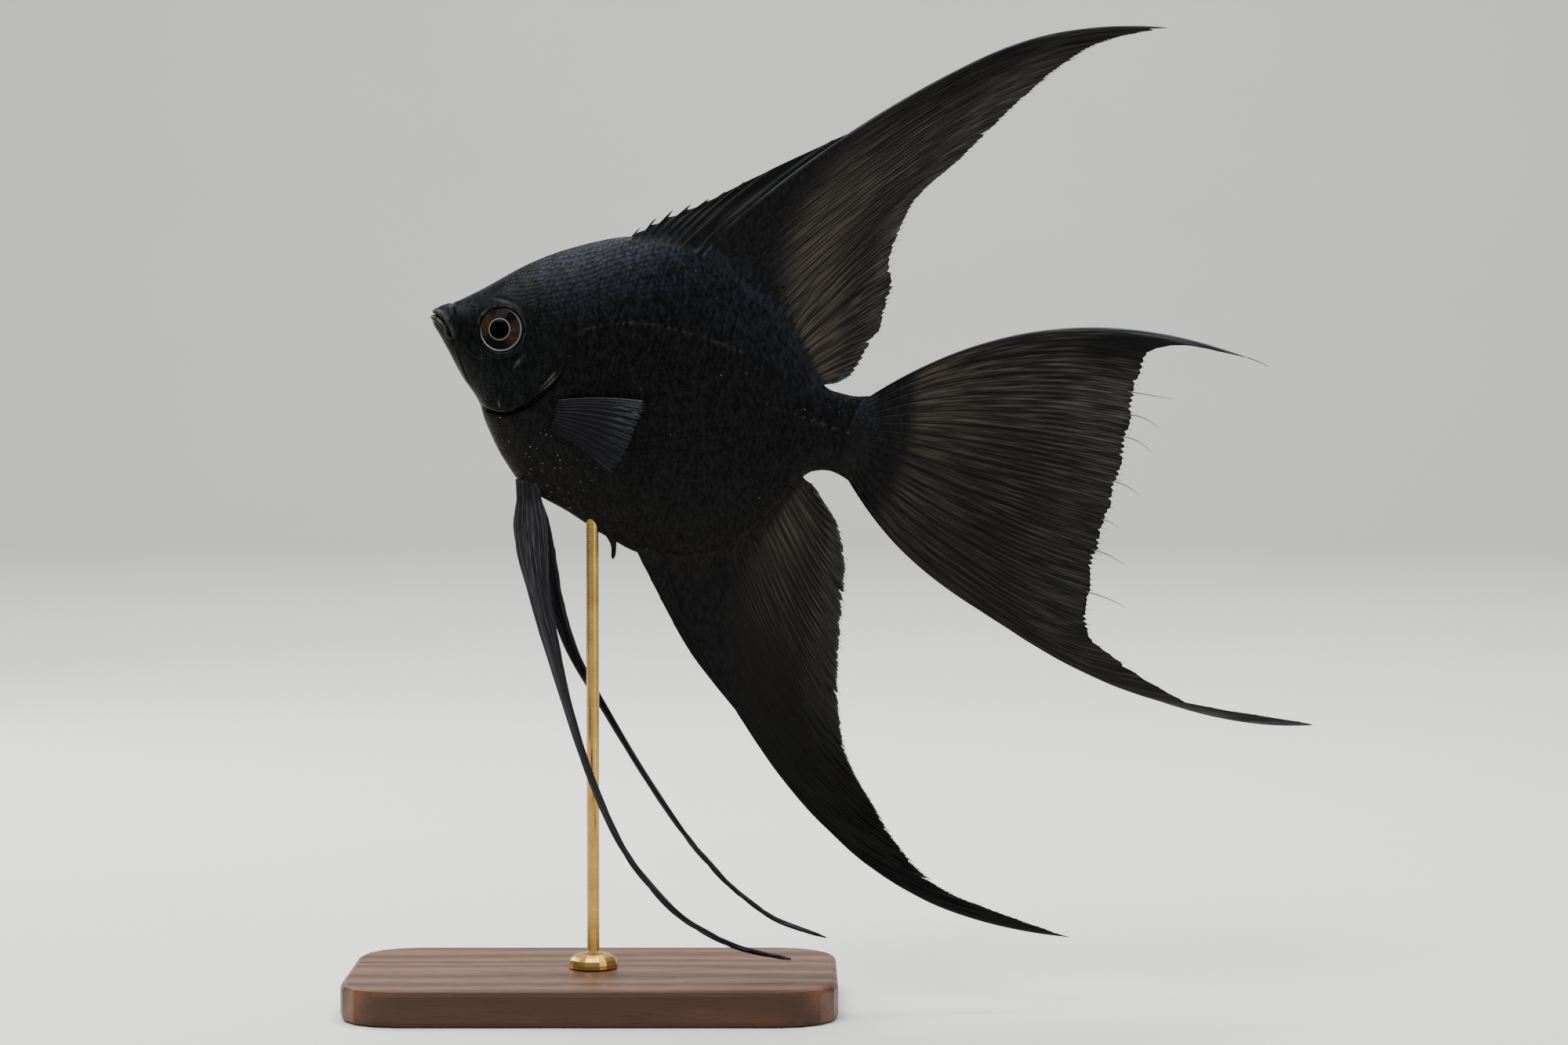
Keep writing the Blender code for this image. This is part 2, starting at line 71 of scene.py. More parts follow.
STANDARD_LENGTH = 0.090
UNIT = STANDARD_LENGTH / 100
MM = 0.001 / UNIT
PITCH = math.radians(16.35)
SNOUT = (-0.0324, 0.0, 0.1416)
POSE = np.array([[math.cos(PITCH), 0, math.sin(PITCH)], [0, 1, 0], [-math.sin(PITCH), 0, math.cos(PITCH)]])
BODY = "root"
SEED = 20
TINY = 1e-9
WET = 1.34  # the index of refraction of mucus and cornea


class Side(Enum):
    """A flank of the fish, with the sign of its y."""

    LEFT = -1
    RIGHT = 1


def linear(code: str) -> Colour:
    """Turns an sRGB hex value to linear RGBA.

    Args:
        code: Six hex digits after a hash sign.

    Returns:
        The four linear channels, with alpha at 1.
    """
    shares = [int(code[i : i + 2], 16) / 255 for i in (1, 3, 5)]
    red, green, blue = (c / 12.92 if c <= 0.04045 else ((c + 0.055) / 1.055) ** 2.4 for c in shares)
    return red, green, blue, 1.0


def ease(low: float | Array, high: float | Array, at: Array) -> Array:
    """Smooth step from 0 at low to 1 at high."""
    t = np.clip((at - low) / (high - low), 0, 1)
    return t * t * (3 - 2 * t)


def bump(at: Array, width: float | Array) -> Array:
    """Bell curve of height 1 round zero."""
    return np.exp(-((at / width) ** 2))


def ripple(a: Array, b: Array, turns: float, seed: float = 0.0) -> Array:
    """Smooth waves with no visible repeat, within -1 and 1, over two coordinates of about unit size.

    Args:
        a: The first coordinate.
        b: The second coordinate.
        turns: How many times faster than once a unit the waves run.
        seed: A phase, for waves of another shape.

    Returns:
        The waves' heights.
    """
    waves = np.zeros_like(a + b)
    for k, share in enumerate((0.5, 0.3, 0.2)):
        grow = turns * 1.7**k
        waves = waves + share * np.sin(grow * (6.1 * a + 1.3 * b) + seed + 2.1 * k) * np.cos(
            grow * (4.7 * b - 0.9 * a) + 1.9 * seed + k
        )
    return waves


@dataclass(frozen=True)
class Curve:
    """A smooth curve through a few (key, value) pairs, which doesn't overshoot between them."""

    points: Pairs

    def at(self, where: Array | float) -> Array:
        """Reads the curve.

        Args:
            where: Keys to read it at. Beyond its ends the curve keeps its last value.

        Returns:
            The values, in the same shape.
        """
        keys, values = np.array(self.points, float).T
        where = np.clip(where, keys[0], keys[-1])
        steps = np.diff(keys)
        slopes = np.diff(values) / steps
        tangents = np.concatenate([slopes[:1], np.zeros(len(slopes) - 1), slopes[-1:]])
        before, after = slopes[:-1], slopes[1:]
        rising = before * after > 0
        left, right = 2 * steps[1:] + steps[:-1], steps[1:] + 2 * steps[:-1]
        safe = np.where(rising, before, 1.0), np.where(rising, after, 1.0)
        tangents[1:-1] = np.where(rising, (left + right) / (left / safe[0] + right / safe[1]), 0.0)
        i = np.clip(np.searchsorted(keys, where, side="right") - 1, 0, len(steps) - 1)
        t = (where - keys[i]) / steps[i]
        return (
            (1 + 2 * t) * (1 - t) ** 2 * values[i]
            + t * (1 - t) ** 2 * steps[i] * tangents[i]
            + t * t * (3 - 2 * t) * values[i + 1]
            + t * t * (t - 1) * steps[i] * tangents[i + 1]
        )


@dataclass(frozen=True)
class Line:
    """A smooth line on the fish's side, through a few (x, z) points."""

    points: Pairs
    steps: int = 6

    def drawn(self) -> Array:
        """Draws the line as many short straight runs.

        Returns:
            Their ends, as (n, 2) points.
        """
        ends = np.array([self.points[0], *self.points, self.points[-1]], float)
        run = []
        for p0, p1, p2, p3 in zip(ends, ends[1:], ends[2:], ends[3:]):
            for t in np.arange(self.steps) / self.steps:
                run.append(p1 + t * (p2 - p0) / 2 + t * t * (p0 - 2.5 * p1 + 2 * p2 - p3 / 2)
                           + t**3 * (1.5 * (p1 - p2) + (p3 - p0) / 2))
        return np.array([*run, ends[-1]])

    def offset(self, x: Array, z: Array) -> tuple[Array, Array]:
        """Measures places against the line.

        Args:
            x: Places along the fish.
            z: Places up its side.

        Returns:
            The distance to the line, positive on its left, and the share of the line at the nearest point.
        """
        run = self.drawn()
        nearest = np.full(np.shape(x), np.inf)
        signed, share = np.zeros(np.shape(x)), np.zeros(np.shape(x))
        for k, (start, end) in enumerate(zip(run, run[1:])):
            step = end - start
            length = float(step @ step)
            t = np.clip(((x - start[0]) * step[0] + (z - start[1]) * step[1]) / length, 0, 1)
            dx, dz = x - start[0] - t * step[0], z - start[1] - t * step[1]
            away = np.hypot(dx, dz)
            closer = away < nearest
            side = np.where(step[0] * dz - step[1] * dx < 0, -1.0, 1.0)
            nearest = np.where(closer, away, nearest)
            signed = np.where(closer, side * away, signed)
            share = np.where(closer, (k + t) / (len(run) - 1), share)
        return signed, share


def place_piece(
    name: str, points: Array, faces: Iterable, fields: dict[str, Array], uv: Array | None = None
) -> bpy.types.Object:
    """Makes a smooth-shaded piece of the fish, placed by its pose.

    Args:
        name: The piece's name.
        points: Its (n, 3) points in the fish's frame, in per cent of the standard length.
        faces: Its faces, as runs of point numbers.
        fields: Values for each point, by the name that a finish reads.
        uv: A place for each point on the map that the finish is baked to, or None.

    Returns:
        The piece, which rides on the model's one body.
    """
    mesh = bpy.data.meshes.new(name)
    mesh.from_pydata((points @ POSE.T * UNIT + SNOUT).tolist(), [], [tuple(f) for f in faces])
    for label, values in fields.items():
        layer = mesh.attributes.new(label, "FLOAT", "POINT")
        layer.data.foreach_set("value", np.asarray(values, "f").ravel())
    if uv is not None:
        corners = np.zeros(len(mesh.loops), "i")
        mesh.loops.foreach_get("vertex_index", corners)
        mesh.uv_layers.new(name="OFBake").uv.foreach_set("vector", uv[corners].astype("f").ravel())
    mesh.shade_smooth()
    piece = bpy.data.objects.new(name, mesh)
    bpy.context.scene.collection.objects.link(piece)
    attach(piece, BODY)
    LOG.info("%s: %d faces", name, len(mesh.polygons))
    return piece


def quads(index: Array) -> Array:
    """The quads of a grid of point numbers, each running down the first axis and then along the second."""
    return np.stack([index[:-1, :-1], index[1:, :-1], index[1:, 1:], index[:-1, 1:]], axis=-1).reshape(-1, 4)


def rings(count: int, around: int) -> Array:
    """The point numbers of rings of points, each with its first point again at its end."""
    index = np.arange(count * around).reshape(count, around)
    return np.concatenate([index, index[:, :1]], axis=1)


def trimmed(points: Array, faces: Array, fields: dict[str, Array]) -> tuple[Array, Array, dict[str, Array]]:
    """Leaves out the points that no face uses.

    Args:
        points: The points, as (n, 3).
        faces: Quads of point numbers.
        fields: Values for each point.

    Returns:
        The points, faces and fields that are left.
    """
    used, faces = np.unique(faces, return_inverse=True)
    return points[used], faces.reshape(-1, 4), {name: values[used] for name, values in fields.items()}


@dataclass
class Relief:
    """A grid of points on a surface, down its first axis in the direction that the scales lie."""

    points: Array
    fields: dict[str, Array] = field(default_factory=dict)
    flip: bool = False
    normals: Array = field(init=False)

    def __post_init__(self) -> None:
        """Works out the outward normals."""
        normals = np.cross(np.gradient(self.points, axis=0), np.gradient(self.points, axis=1))
        normals *= -1 if self.flip else 1
        self.normals = normals / np.maximum(np.linalg.norm(normals, axis=-1, keepdims=True), TINY)

    def mirrored(self) -> "Relief":
        """The same surface on the fish's other side."""
        return Relief(self.points * (1, -1, 1), self.fields, not self.flip)

    def read(self, grid: Array, i: Array, j: Array) -> Array:
        """Reads values between the grid's points.

        Args:
            grid: Values on this grid, with or without a last axis of components.
            i: Places down the first axis, in steps of the grid.
            j: Places along the second axis.

        Returns:
            The values at those places.
        """
        rows, columns = grid.shape[:2]
        i, j = np.clip(i, 0, rows - 1.001), np.clip(j, 0, columns - 1.001)
        low_i, low_j = i.astype(int), j.astype(int)
        s, t = i - low_i, j - low_j
        if grid.ndim == 3:
            s, t = s[..., None], t[..., None]
        near = (1 - t) * grid[low_i, low_j] + t * grid[low_i, low_j + 1]
        return (1 - s) * near + s * ((1 - t) * grid[low_i + 1, low_j] + t * grid[low_i + 1, low_j + 1])


@dataclass(frozen=True)
class Scales:
    """One size of scale, laid in rows that are half a scale out of step, as roof tiles are. Sizes in mm.

    Each scale rises from its root, below the skin, to its free end. Its sides and end turn down to the hem.
    """

    length: float
    width: float
    step: float
    spacing: float
    lift: float
    root: float
    hem: float
    stretch: float = 1.0
    jitter: float = 0.08
    twist: float = 0.06

    ALONG = (0.0, 0.45, 0.8, 1.0, 1.0)
    ACROSS = (-1.0, -0.62, 0.0, 0.62, 1.0)
    ROOT_SHARE = 0.15
    BOW = 0.10
    SIDES_DROP = 0.35
    LEAST_STEP = 0.3
    PATCH = 0.0015

    def seeds(self, relief: Relief, wanted: Callable[[Relief, Array, Array], Array]) -> tuple[Array, Array]:
        """Finds where the scales are rooted.

        Args:
            relief: The surface to lay them on.
            wanted: Says for places on the relief's grid which of them carry scales of this size.

        Returns:
            The places down and along the relief's grid.
        """
        middle = relief.points.shape[1] // 2
        down = np.linalg.norm(np.diff(relief.points[:, middle], axis=0), axis=1)
        down = np.concatenate([[0], np.cumsum(down)])
        rows, columns = [], []
        for k, arc in enumerate(np.arange(self.step * MM / 2, down[-1], self.step * MM)):
            i = np.interp(arc, down, np.arange(len(down)))
            columns_of = np.arange(relief.points.shape[1])
            line = relief.read(relief.points, np.full(len(columns_of), i), columns_of)
            over = np.concatenate([[0], np.cumsum(np.linalg.norm(np.diff(line, axis=0), axis=1))])
            gap = self.spacing * MM
            start = (over[middle] + (k % 2) * gap / 2) % gap
            j = np.interp(np.arange(start, over[-1], gap), over, np.arange(len(over)))
            rows.append(np.full(len(j), i))
            columns.append(j)
        i, j = np.concatenate(rows), np.concatenate(columns)
        keep = wanted(relief, i, j)
        return i[keep], j[keep]

    def lay(self, relief: Relief, i: Array, j: Array, rng: np.random.Generator) -> "ScalePatch":
        """Lays a scale at each seed.

        Args:
            relief: The surface to lay them on.
            i: The seeds' places down the relief's grid.
            j: The seeds' places along it.
            rng: Random draws for the scales' small differences.

        Returns:
            The scales' points, faces and fields.
        """
        count = len(i)
        steps_down = np.gradient(relief.points, axis=0)
        down = relief.read(steps_down, i, j)
        over = relief.read(np.gradient(relief.points, axis=1), i, j)
        middle = relief.read(steps_down, i, np.full(count, relief.points.shape[1] // 2))
        down_step = np.linalg.norm(down, axis=1)
        down_step = np.maximum(down_step, self.LEAST_STEP * np.median(down_step))
        shear = np.sum(over * down, axis=1) / down_step
        square = over - (shear / down_step)[:, None] * down
        over_step = np.linalg.norm(square, axis=1)
        over_step = np.maximum(over_step, self.LEAST_STEP * np.median(over_step))
        size = 1 + self.jitter * rng.standard_normal(count)
        turn = self.twist * rng.standard_normal(count)
        tone = rng.random(count)
        along, across = np.meshgrid(self.ALONG, self.ACROSS, indexing="ij")
        # The free end is rounded and the root a little narrower, like a fingernail.
        rounded = np.sqrt(np.clip(1 - np.clip((along - 0.45) / 0.62, 0, 1) ** 2, 0, 1)) * (0.8 + 0.2 * along)
        s = (along - self.ROOT_SHARE - self.BOW * across**2) * self.length * MM
        t = across * rounded * self.width / 2 * MM
        # Where the grid's rows run further apart than along the flank's middle, the scales are longer.
        longer = size * np.clip(down_step / np.linalg.norm(middle, axis=1), 1, self.stretch)
        s, t = longer[:, None, None] * s, size[:, None, None] * t
        s, t = s - turn[:, None, None] * t, t + turn[:, None, None] * s
        d_j = t / over_step[:, None, None]
        d_i = s / down_step[:, None, None] - (shear / down_step)[:, None, None] * d_j
        rise = self.root + (self.lift - self.root) * along**0.8 - self.SIDES_DROP * self.lift * across**2
        rise[-1, :] = self.hem
        rise[:, (0, -1)] = self.hem
        at_i, at_j = i[:, None, None] + d_i, j[:, None, None] + d_j
        normal = relief.read(relief.normals, at_i, at_j)
        points = relief.read(relief.points, at_i, at_j) + normal * (rise * MM)[None, ..., None]
        one = np.arange(along.size).reshape(along.shape)
        faces = quads(one if not relief.flip else one[:, ::-1])
        fields = {name: relief.read(grid, at_i, at_j) for name, grid in relief.fields.items()}
        fields["tone"] = np.broadcast_to(tone[:, None, None], at_i.shape)
        # A painted highlight that grows towards each scale's free end.
        fields["edge"] = np.broadcast_to(along**3, at_i.shape)
        rows, columns = relief.points.shape[:2]
        root = np.stack([i / rows, j / columns], axis=-1)[:, None, None, :]
        patch = self.PATCH * np.stack([along - 0.5, across / 2], axis=-1)
        return ScalePatch(
            points.reshape(-1, 3),
            (faces[None] + along.size * np.arange(count)[:, None, None]).reshape(-1, 4),
            {name: values.reshape(-1) for name, values in fields.items()},
            (root + patch[None]).reshape(-1, 2),
        )


@dataclass
class ScalePatch:
    """Scales as points, faces, fields and places on the bake map."""

    points: Array
    faces: Array
    fields: dict[str, Array]
    uv: Array

    @staticmethod
    def join(name: str, patches: Sequence["ScalePatch"]) -> bpy.types.Object:
        """Joins patches as one piece of the fish.

        Args:
            name: The piece's name.
            patches: The patches, which all have the same fields.

        Returns:
            The piece.
        """
        starts = np.cumsum([0] + [len(p.points) for p in patches])
        faces = np.concatenate([p.faces + s for p, s in zip(patches, starts)])
        fields = {key: np.concatenate([p.fields[key] for p in patches]) for key in patches[0].fields}
        uv = np.concatenate([p.uv for p in patches])
        coat = place_piece(name, np.concatenate([p.points for p in patches]), faces.tolist(), fields, uv)
        return coat


def add(
    tree: Tree, kind: str, inputs: dict[str | int, Any], out: str | int = 0, **settings: Any
) -> Socket:
    """Adds a shader node.

    Args:
        tree: The material's node tree.
        kind: The node's type, without its ShaderNode prefix.
        inputs: For each input, by name or number, a value or the socket to link to it.
        out: The output that is wanted, by name or number.
        **settings: The node's own settings.

    Returns:
        The output.
    """
    made = tree.nodes.new("ShaderNode" + kind)
    for name, value in settings.items():
        setattr(made, name, value)
    for name, value in inputs.items():
        if isinstance(value, Socket):
            tree.links.new(value, made.inputs[name])
        else:
            made.inputs[name].default_value = value
    return made.outputs[out]


def per_mm(size: float) -> float:
    """The scale at which a pattern's shapes are of a size in mm."""
    return 1000 / size


@dataclass(frozen=True)
class Finish:
    """What every finish has: a name, a gloss and the making of its material."""

    name: str
    roughness: float
    ior: float = WET
    specular: float = 0.5

    def material(self) -> bpy.types.Material:
        """Makes the material.

        Returns:
            The material, dressed.
        """
        made = bpy.data.materials.new(self.name)
        made.use_nodes = True
        shader = made.node_tree.nodes["Principled BSDF"]
        shader.inputs["Roughness"].default_value = self.roughness
        shader.inputs["IOR"].default_value = self.ior
        shader.inputs["Specular IOR Level"].default_value = self.specular
        self.dress(made.node_tree, shader)
        return made

    def dress(self, tree: Tree, shader: bpy.types.Node) -> None:
        """Adds the finish's own nodes to its shader."""
        raise NotImplementedError


@dataclass(frozen=True)
class BlackSkin(Finish):
    """Melanistic fish skin under clear mucus: pigment is densest on the flank. The nape and back are paler
    and bluer, partly the cold tone of the scales' silvery guanine and partly a painted sheen of the light
    from above, and the guanine gives short upright streaks and a few pale flecks."""

    specular: float = 0.13
    belly: str = "#090807"
    flank: str = "#070708"
    # The shoulder's and back's paler blue-grey is partly pigment and partly a painted sheen of the light from
    # above.
    shoulder_and_sheen: str = "#0c0e13"
    back: str = "#12151c"
    cheek: str = "#070a09"
    # Also the colour of the painted highlights on the edges of the head's folds.
    fleck: str = "#83827a"
    streak_mm: float = 0.75
    streak_squash: float = 0.45
    streak_light: tuple[float, float] = (0.30, 2.80)
    mottle_mm: float = 9.0
    mottle: float = 0.16
    tone_light: float = 0.35
    scale_end_highlight: float = 0.22
    fleck_mm: float = 0.85
    fleck_reach: tuple[float, float] = (0.07, 0.24)
    fleck_light: tuple[float, float] = (0.15, 0.9)
    film_mm: float = 2.5
    grain_mm: float = 0.22

    def marbled(self, tree: Tree, place: Socket) -> Socket:
        """The skin's colour from belly to back, paler and bluer on the back partly as a painted sheen of the
        light from above, with soft mottles and a greener cheek.

        Args:
            tree: The material's node tree.
            place: Where the pattern is read.

        Returns:
            The colour socket.
        """
        level = add(tree, "Attribute", {}, "Fac", attribute_name="level")
        head = add(tree, "Attribute", {}, "Fac", attribute_name="head")
        height = add(tree, "MapRange", {"Value": level, 1: -1.0, 2: 1.0})
        clouds = add(tree, "TexNoise", {"Vector": place, "Scale": per_mm(self.mottle_mm), "Detail": 4.0})
        nudged = add(tree, "Math", {0: clouds, 1: self.mottle, 2: height}, operation="MULTIPLY_ADD")
        ramp = add(tree, "ValToRGB", {"Fac": nudged})
        bar = ramp.node.color_ramp.elements
        bar[0].position, bar[0].color = 0.10, linear(self.belly)
        bar[1].position, bar[1].color = 1.0, linear(self.back)
        for at, code in ((0.42, self.flank), (0.74, self.flank), (0.90, self.shoulder_and_sheen)):
            bar.new(at).color = linear(code)
        return add(tree, "Mix", {0: head, 6: ramp, 7: linear(self.cheek)}, 2, data_type="RGBA")

    def flecked(self, tree: Tree, place: Socket) -> Socket:
        """How pale each place is for its fleck of guanine: flecks differ in size and strength.

        Args:
            tree: The material's node tree.
            place: Where the pattern is read.

        Returns:
            A value from 0 to 1.
        """
        thick = add(tree, "Attribute", {}, "Fac", attribute_name="flecks")
        dots = add(tree, "TexVoronoi", {"Vector": place, "Scale": per_mm(self.fleck_mm), "Randomness": 1.0})
        draws = add(tree, "SeparateColor", {0: dots.node.outputs["Color"]}).node.outputs
        least, most = self.fleck_reach
        reach = add(tree, "MapRange", {"Value": draws[1], 3: least, 4: most})
        near = add(tree, "Math", {0: dots, 1: reach}, operation="DIVIDE")
        dot = add(tree, "MapRange", {"Value": near, 1: 1.0, 2: 0.4})
        few = add(tree, "Math", {0: draws[0], 1: thick}, operation="LESS_THAN")
        faintest, brightest = self.fleck_light
        light = add(tree, "MapRange", {"Value": draws[2], 3: faintest, 4: brightest})
        lit = add(tree, "Math", {0: light, 1: few}, operation="MULTIPLY")
        return add(tree, "Math", {0: dot, 1: lit}, operation="MULTIPLY")

    def colour(self, tree: Tree) -> Socket:
        """The markings that skin, scales and the roots of the fins share.

        Args:
            tree: The material's node tree.

        Returns:
            The colour socket.
        """
        place = add(tree, "TexCoord", {}, "Object")
        # Scale by scale, and in short upright streaks within them, the pigment is thicker or thinner, and
        # each scale's free end is painted lighter as a highlight.
        upright = {"Vector": place, "Rotation": (0, -PITCH, 0), "Scale": (1, 1, self.streak_squash)}
        streak = {"Vector": add(tree, "Mapping", upright), "Scale": per_mm(self.streak_mm)}
        streaks = add(tree, "TexNoise", streak | {"Detail": 3.0})
        dark, bright = self.streak_light
        lit = add(tree, "MapRange", {"Value": streaks, 1: 0.38, 2: 0.72, 3: dark, 4: bright})
        scale = lit
        for name, weight in (("tone", self.tone_light), ("edge", self.scale_end_highlight)):
            value = add(tree, "Attribute", {}, "Fac", attribute_name=name)
            scale = add(tree, "Math", {0: value, 1: weight, 2: scale}, operation="MULTIPLY_ADD")
        shaded = add(tree, "VectorMath", {0: self.marbled(tree, place), "Scale": scale}, operation="SCALE")
        # Painted highlights where light catches the folds' edges, lips and eye socket, with the lateral
        # line's own pale dashes, in the fleck colour.
        rim = add(tree, "Attribute", {}, "Fac", attribute_name="rim")
        worn = add(tree, "Math", {0: rim, 1: lit}, operation="MULTIPLY")
        pale = add(tree, "Math", {0: self.flecked(tree, place), 1: worn}, operation="ADD", use_clamp=True)
        return add(tree, "Mix", {0: pale, 6: shaded, 7: linear(self.fleck)}, 2, data_type="RGBA")

    def dress(self, tree: Tree, shader: bpy.types.Node) -> None:
        """Adds the markings, an uneven film and a fine grain.

        Args:
            tree: The material's node tree.
            shader: Its shader.
        """
        tree.links.new(self.colour(tree), shader.inputs["Base Color"])
        place = add(tree, "TexCoord", {}, "Object")
        # The film of mucus lies thicker in some places, where the skin is glossier.
        film = add(tree, "TexNoise", {"Vector": place, "Scale": per_mm(self.film_mm), "Detail": 2.0})
        low, high = self.roughness - 0.07, self.roughness + 0.10
        rough = add(tree, "MapRange", {"Value": film, 1: 0.3, 2: 0.7, 3: low, 4: high})
        tree.links.new(rough, shader.inputs["Roughness"])
        # Skin's grain is about 0.05 mm, too fine to show, so it is drawn about four times as coarse.
        grain = add(tree, "TexNoise", {"Vector": place, "Scale": per_mm(self.grain_mm), "Detail": 2.0})
        dents = add(tree, "Bump", {"Height": grain, "Distance": 0.00004, "Strength": 0.5})
        tree.links.new(dents, shader.inputs["Normal"])


@dataclass(frozen=True)
class VeilFin(Finish):
    """Fin web, a dry film of skin over bony rays: each ray is a brown-grey band streaked along its length,
    parted from the next by a dark line of bare web, black where scaly skin climbs on to its root, and pale at
    its edge, where the pale line along the leading ray and the spines is a painted highlight."""

    specular: float = 0.18
    skin: BlackSkin = BlackSkin("black_skin", 0.42)
    web: str = "#050505"
    ray: str = "#3a352f"
    glint: str = "#5b544c"
    # The pale of the edges, also used for the painted highlights along the leading ray and the spines.
    pale: str = "#70767d"
    streaks: float = 8.0
    streak_mm: float = 9.0
    fine_light: tuple[float, float] = (0.22, 1.42)
    wide_light: tuple[float, float] = (0.72, 1.15)
    glint_share: float = 0.5

    def dress(self, tree: Tree, shader: bpy.types.Node) -> None:
        """Adds the rays with their streaks and painted glints, the web between them, the black root and the
        pale edge with its painted highlights.

        Args:
            tree: The material's node tree.
            shader: Its shader.
        """
        ray, pale, sheath, across, along = (
            add(tree, "Attribute", {}, "Fac", attribute_name=name)
            for name in ("ray", "pale", "sheath", "across", "along")
        )
        length = 1 / (self.streak_mm * self.streaks)
        drawn = add(tree, "Math", {0: along, 1: length}, operation="MULTIPLY")
        place = add(tree, "CombineXYZ", {0: across, 1: drawn})
        fine = add(tree, "TexNoise", {"Vector": place, "Scale": self.streaks, "Detail": 3.0})
        wide = add(tree, "TexNoise", {"Vector": place, "Scale": self.streaks / 5, "Detail": 2.0})
        low, high = self.fine_light
        lit = add(tree, "MapRange", {"Value": fine, 1: 0.39, 2: 0.63, 3: low, 4: high})
        low, high = self.wide_light
        shade = add(tree, "MapRange", {"Value": wide, 1: 0.35, 2: 0.65, 3: low, 4: high})
        both = add(tree, "Math", {0: lit, 1: shade}, operation="MULTIPLY")
        bright = add(tree, "MapRange", {"Value": fine, 1: 0.60, 2: 0.76, 3: 0.0, 4: self.glint_share})
        colour = linear(self.web)
        for strength, code in ((both, self.ray), (bright, self.glint)):
            share = add(tree, "Math", {0: ray, 1: strength}, operation="MULTIPLY", use_clamp=True)
            colour = add(tree, "Mix", {0: share, 6: colour, 7: linear(code)}, 2, data_type="RGBA")
        black = self.skin.colour(tree)
        colour = add(tree, "Mix", {0: sheath, 6: colour, 7: black}, 2, data_type="RGBA")
        frayed = add(tree, "Math", {0: pale, 1: lit}, operation="MULTIPLY", use_clamp=True)
        edged = add(tree, "Mix", {0: frayed, 6: colour, 7: linear(self.pale)}, 2, data_type="RGBA")
        tree.links.new(edged, shader.inputs["Base Color"])
        dents = add(tree, "Bump", {"Height": fine, "Distance": 0.00006, "Strength": 0.6})
        tree.links.new(dents, shader.inputs["Normal"])


@dataclass(frozen=True)
class EyeGlass(Finish):
    """A wet eye: a black lens in a thin ring of dull gold, a brown and black iris, and a silver rim round it
    whose uneven brightness is a painted highlight, all under the clear gloss of the cornea."""

    specular: float = 0.0
    pupil: str = "#030406"
    ring: str = "#6e645a"
    dusk: str = "#0b090a"
    amber: str = "#33251c"
    silver: str = "#92959a"
    ring_at: float = 0.475
    ring_wide: float = 0.026
    silver_from: tuple[float, float] = (0.905, 0.94)
    fleck_mm: float = 0.5
    cornea: float = 0.07
    cornea_roughness: float = 0.10

    def iris(self, tree: Tree) -> Socket:
        """The iris, brown ahead of and behind the lens, and dusky above and below it.

        Args:
            tree: The material's node tree.

        Returns:
            The colour socket.
        """
        ahead = add(tree, "Attribute", {}, "Fac", attribute_name="ahead")
        sides = add(tree, "Math", {0: ahead, 1: 2.0}, operation="POWER")
        warm = add(tree, "MapRange", {"Value": sides, 1: 0.25, 2: 0.85})
        place = add(tree, "TexCoord", {}, "Object")
        fleck = add(tree, "TexNoise", {"Vector": place, "Scale": per_mm(self.fleck_mm), "Detail": 5.0})
        flecked = add(tree, "MapRange", {"Value": fleck, 1: 0.3, 2: 0.7, 3: 0.35, 4: 1.0})
        amber = add(tree, "Math", {0: warm, 1: flecked}, operation="MULTIPLY")
        return add(tree, "Mix", {0: amber, 6: linear(self.dusk), 7: linear(self.amber)}, 2, data_type="RGBA")

    def dress(self, tree: Tree, shader: bpy.types.Node) -> None:
        """Adds the rings of the eye, read from how far each point is from its middle.

        Args:
            tree: The material's node tree.
            shader: Its shader.
        """
        out = add(tree, "Attribute", {}, "Fac", attribute_name="out")
        shine = add(tree, "Attribute", {}, "Fac", attribute_name="shine")
        low, high = self.ring_at - self.ring_wide, self.ring_at + self.ring_wide
        inner = add(tree, "MapRange", {"Value": out, 1: low, 2: low + 0.02})
        outer = add(tree, "MapRange", {"Value": out, 1: high - 0.015, 2: high + 0.02})
        start, end = self.silver_from
        far = add(tree, "MapRange", {"Value": out, 1: start, 2: end})
        # The silver rim shows only where its painted highlight lies, brighter on some sides than others.
        rim = add(tree, "Math", {0: far, 1: shine}, operation="MULTIPLY")
        colour = linear(self.pupil)
        rings_out = ((inner, linear(self.ring)), (outer, self.iris(tree)), (rim, linear(self.silver)))
        for share, other in rings_out:
            colour = add(tree, "Mix", {0: share, 6: colour, 7: other}, 2, data_type="RGBA")
        tree.links.new(colour, shader.inputs["Base Color"])
        shader.inputs["Coat Weight"].default_value = self.cornea
        shader.inputs["Coat Roughness"].default_value = self.cornea_roughness
        shader.inputs["Coat IOR"].default_value = WET


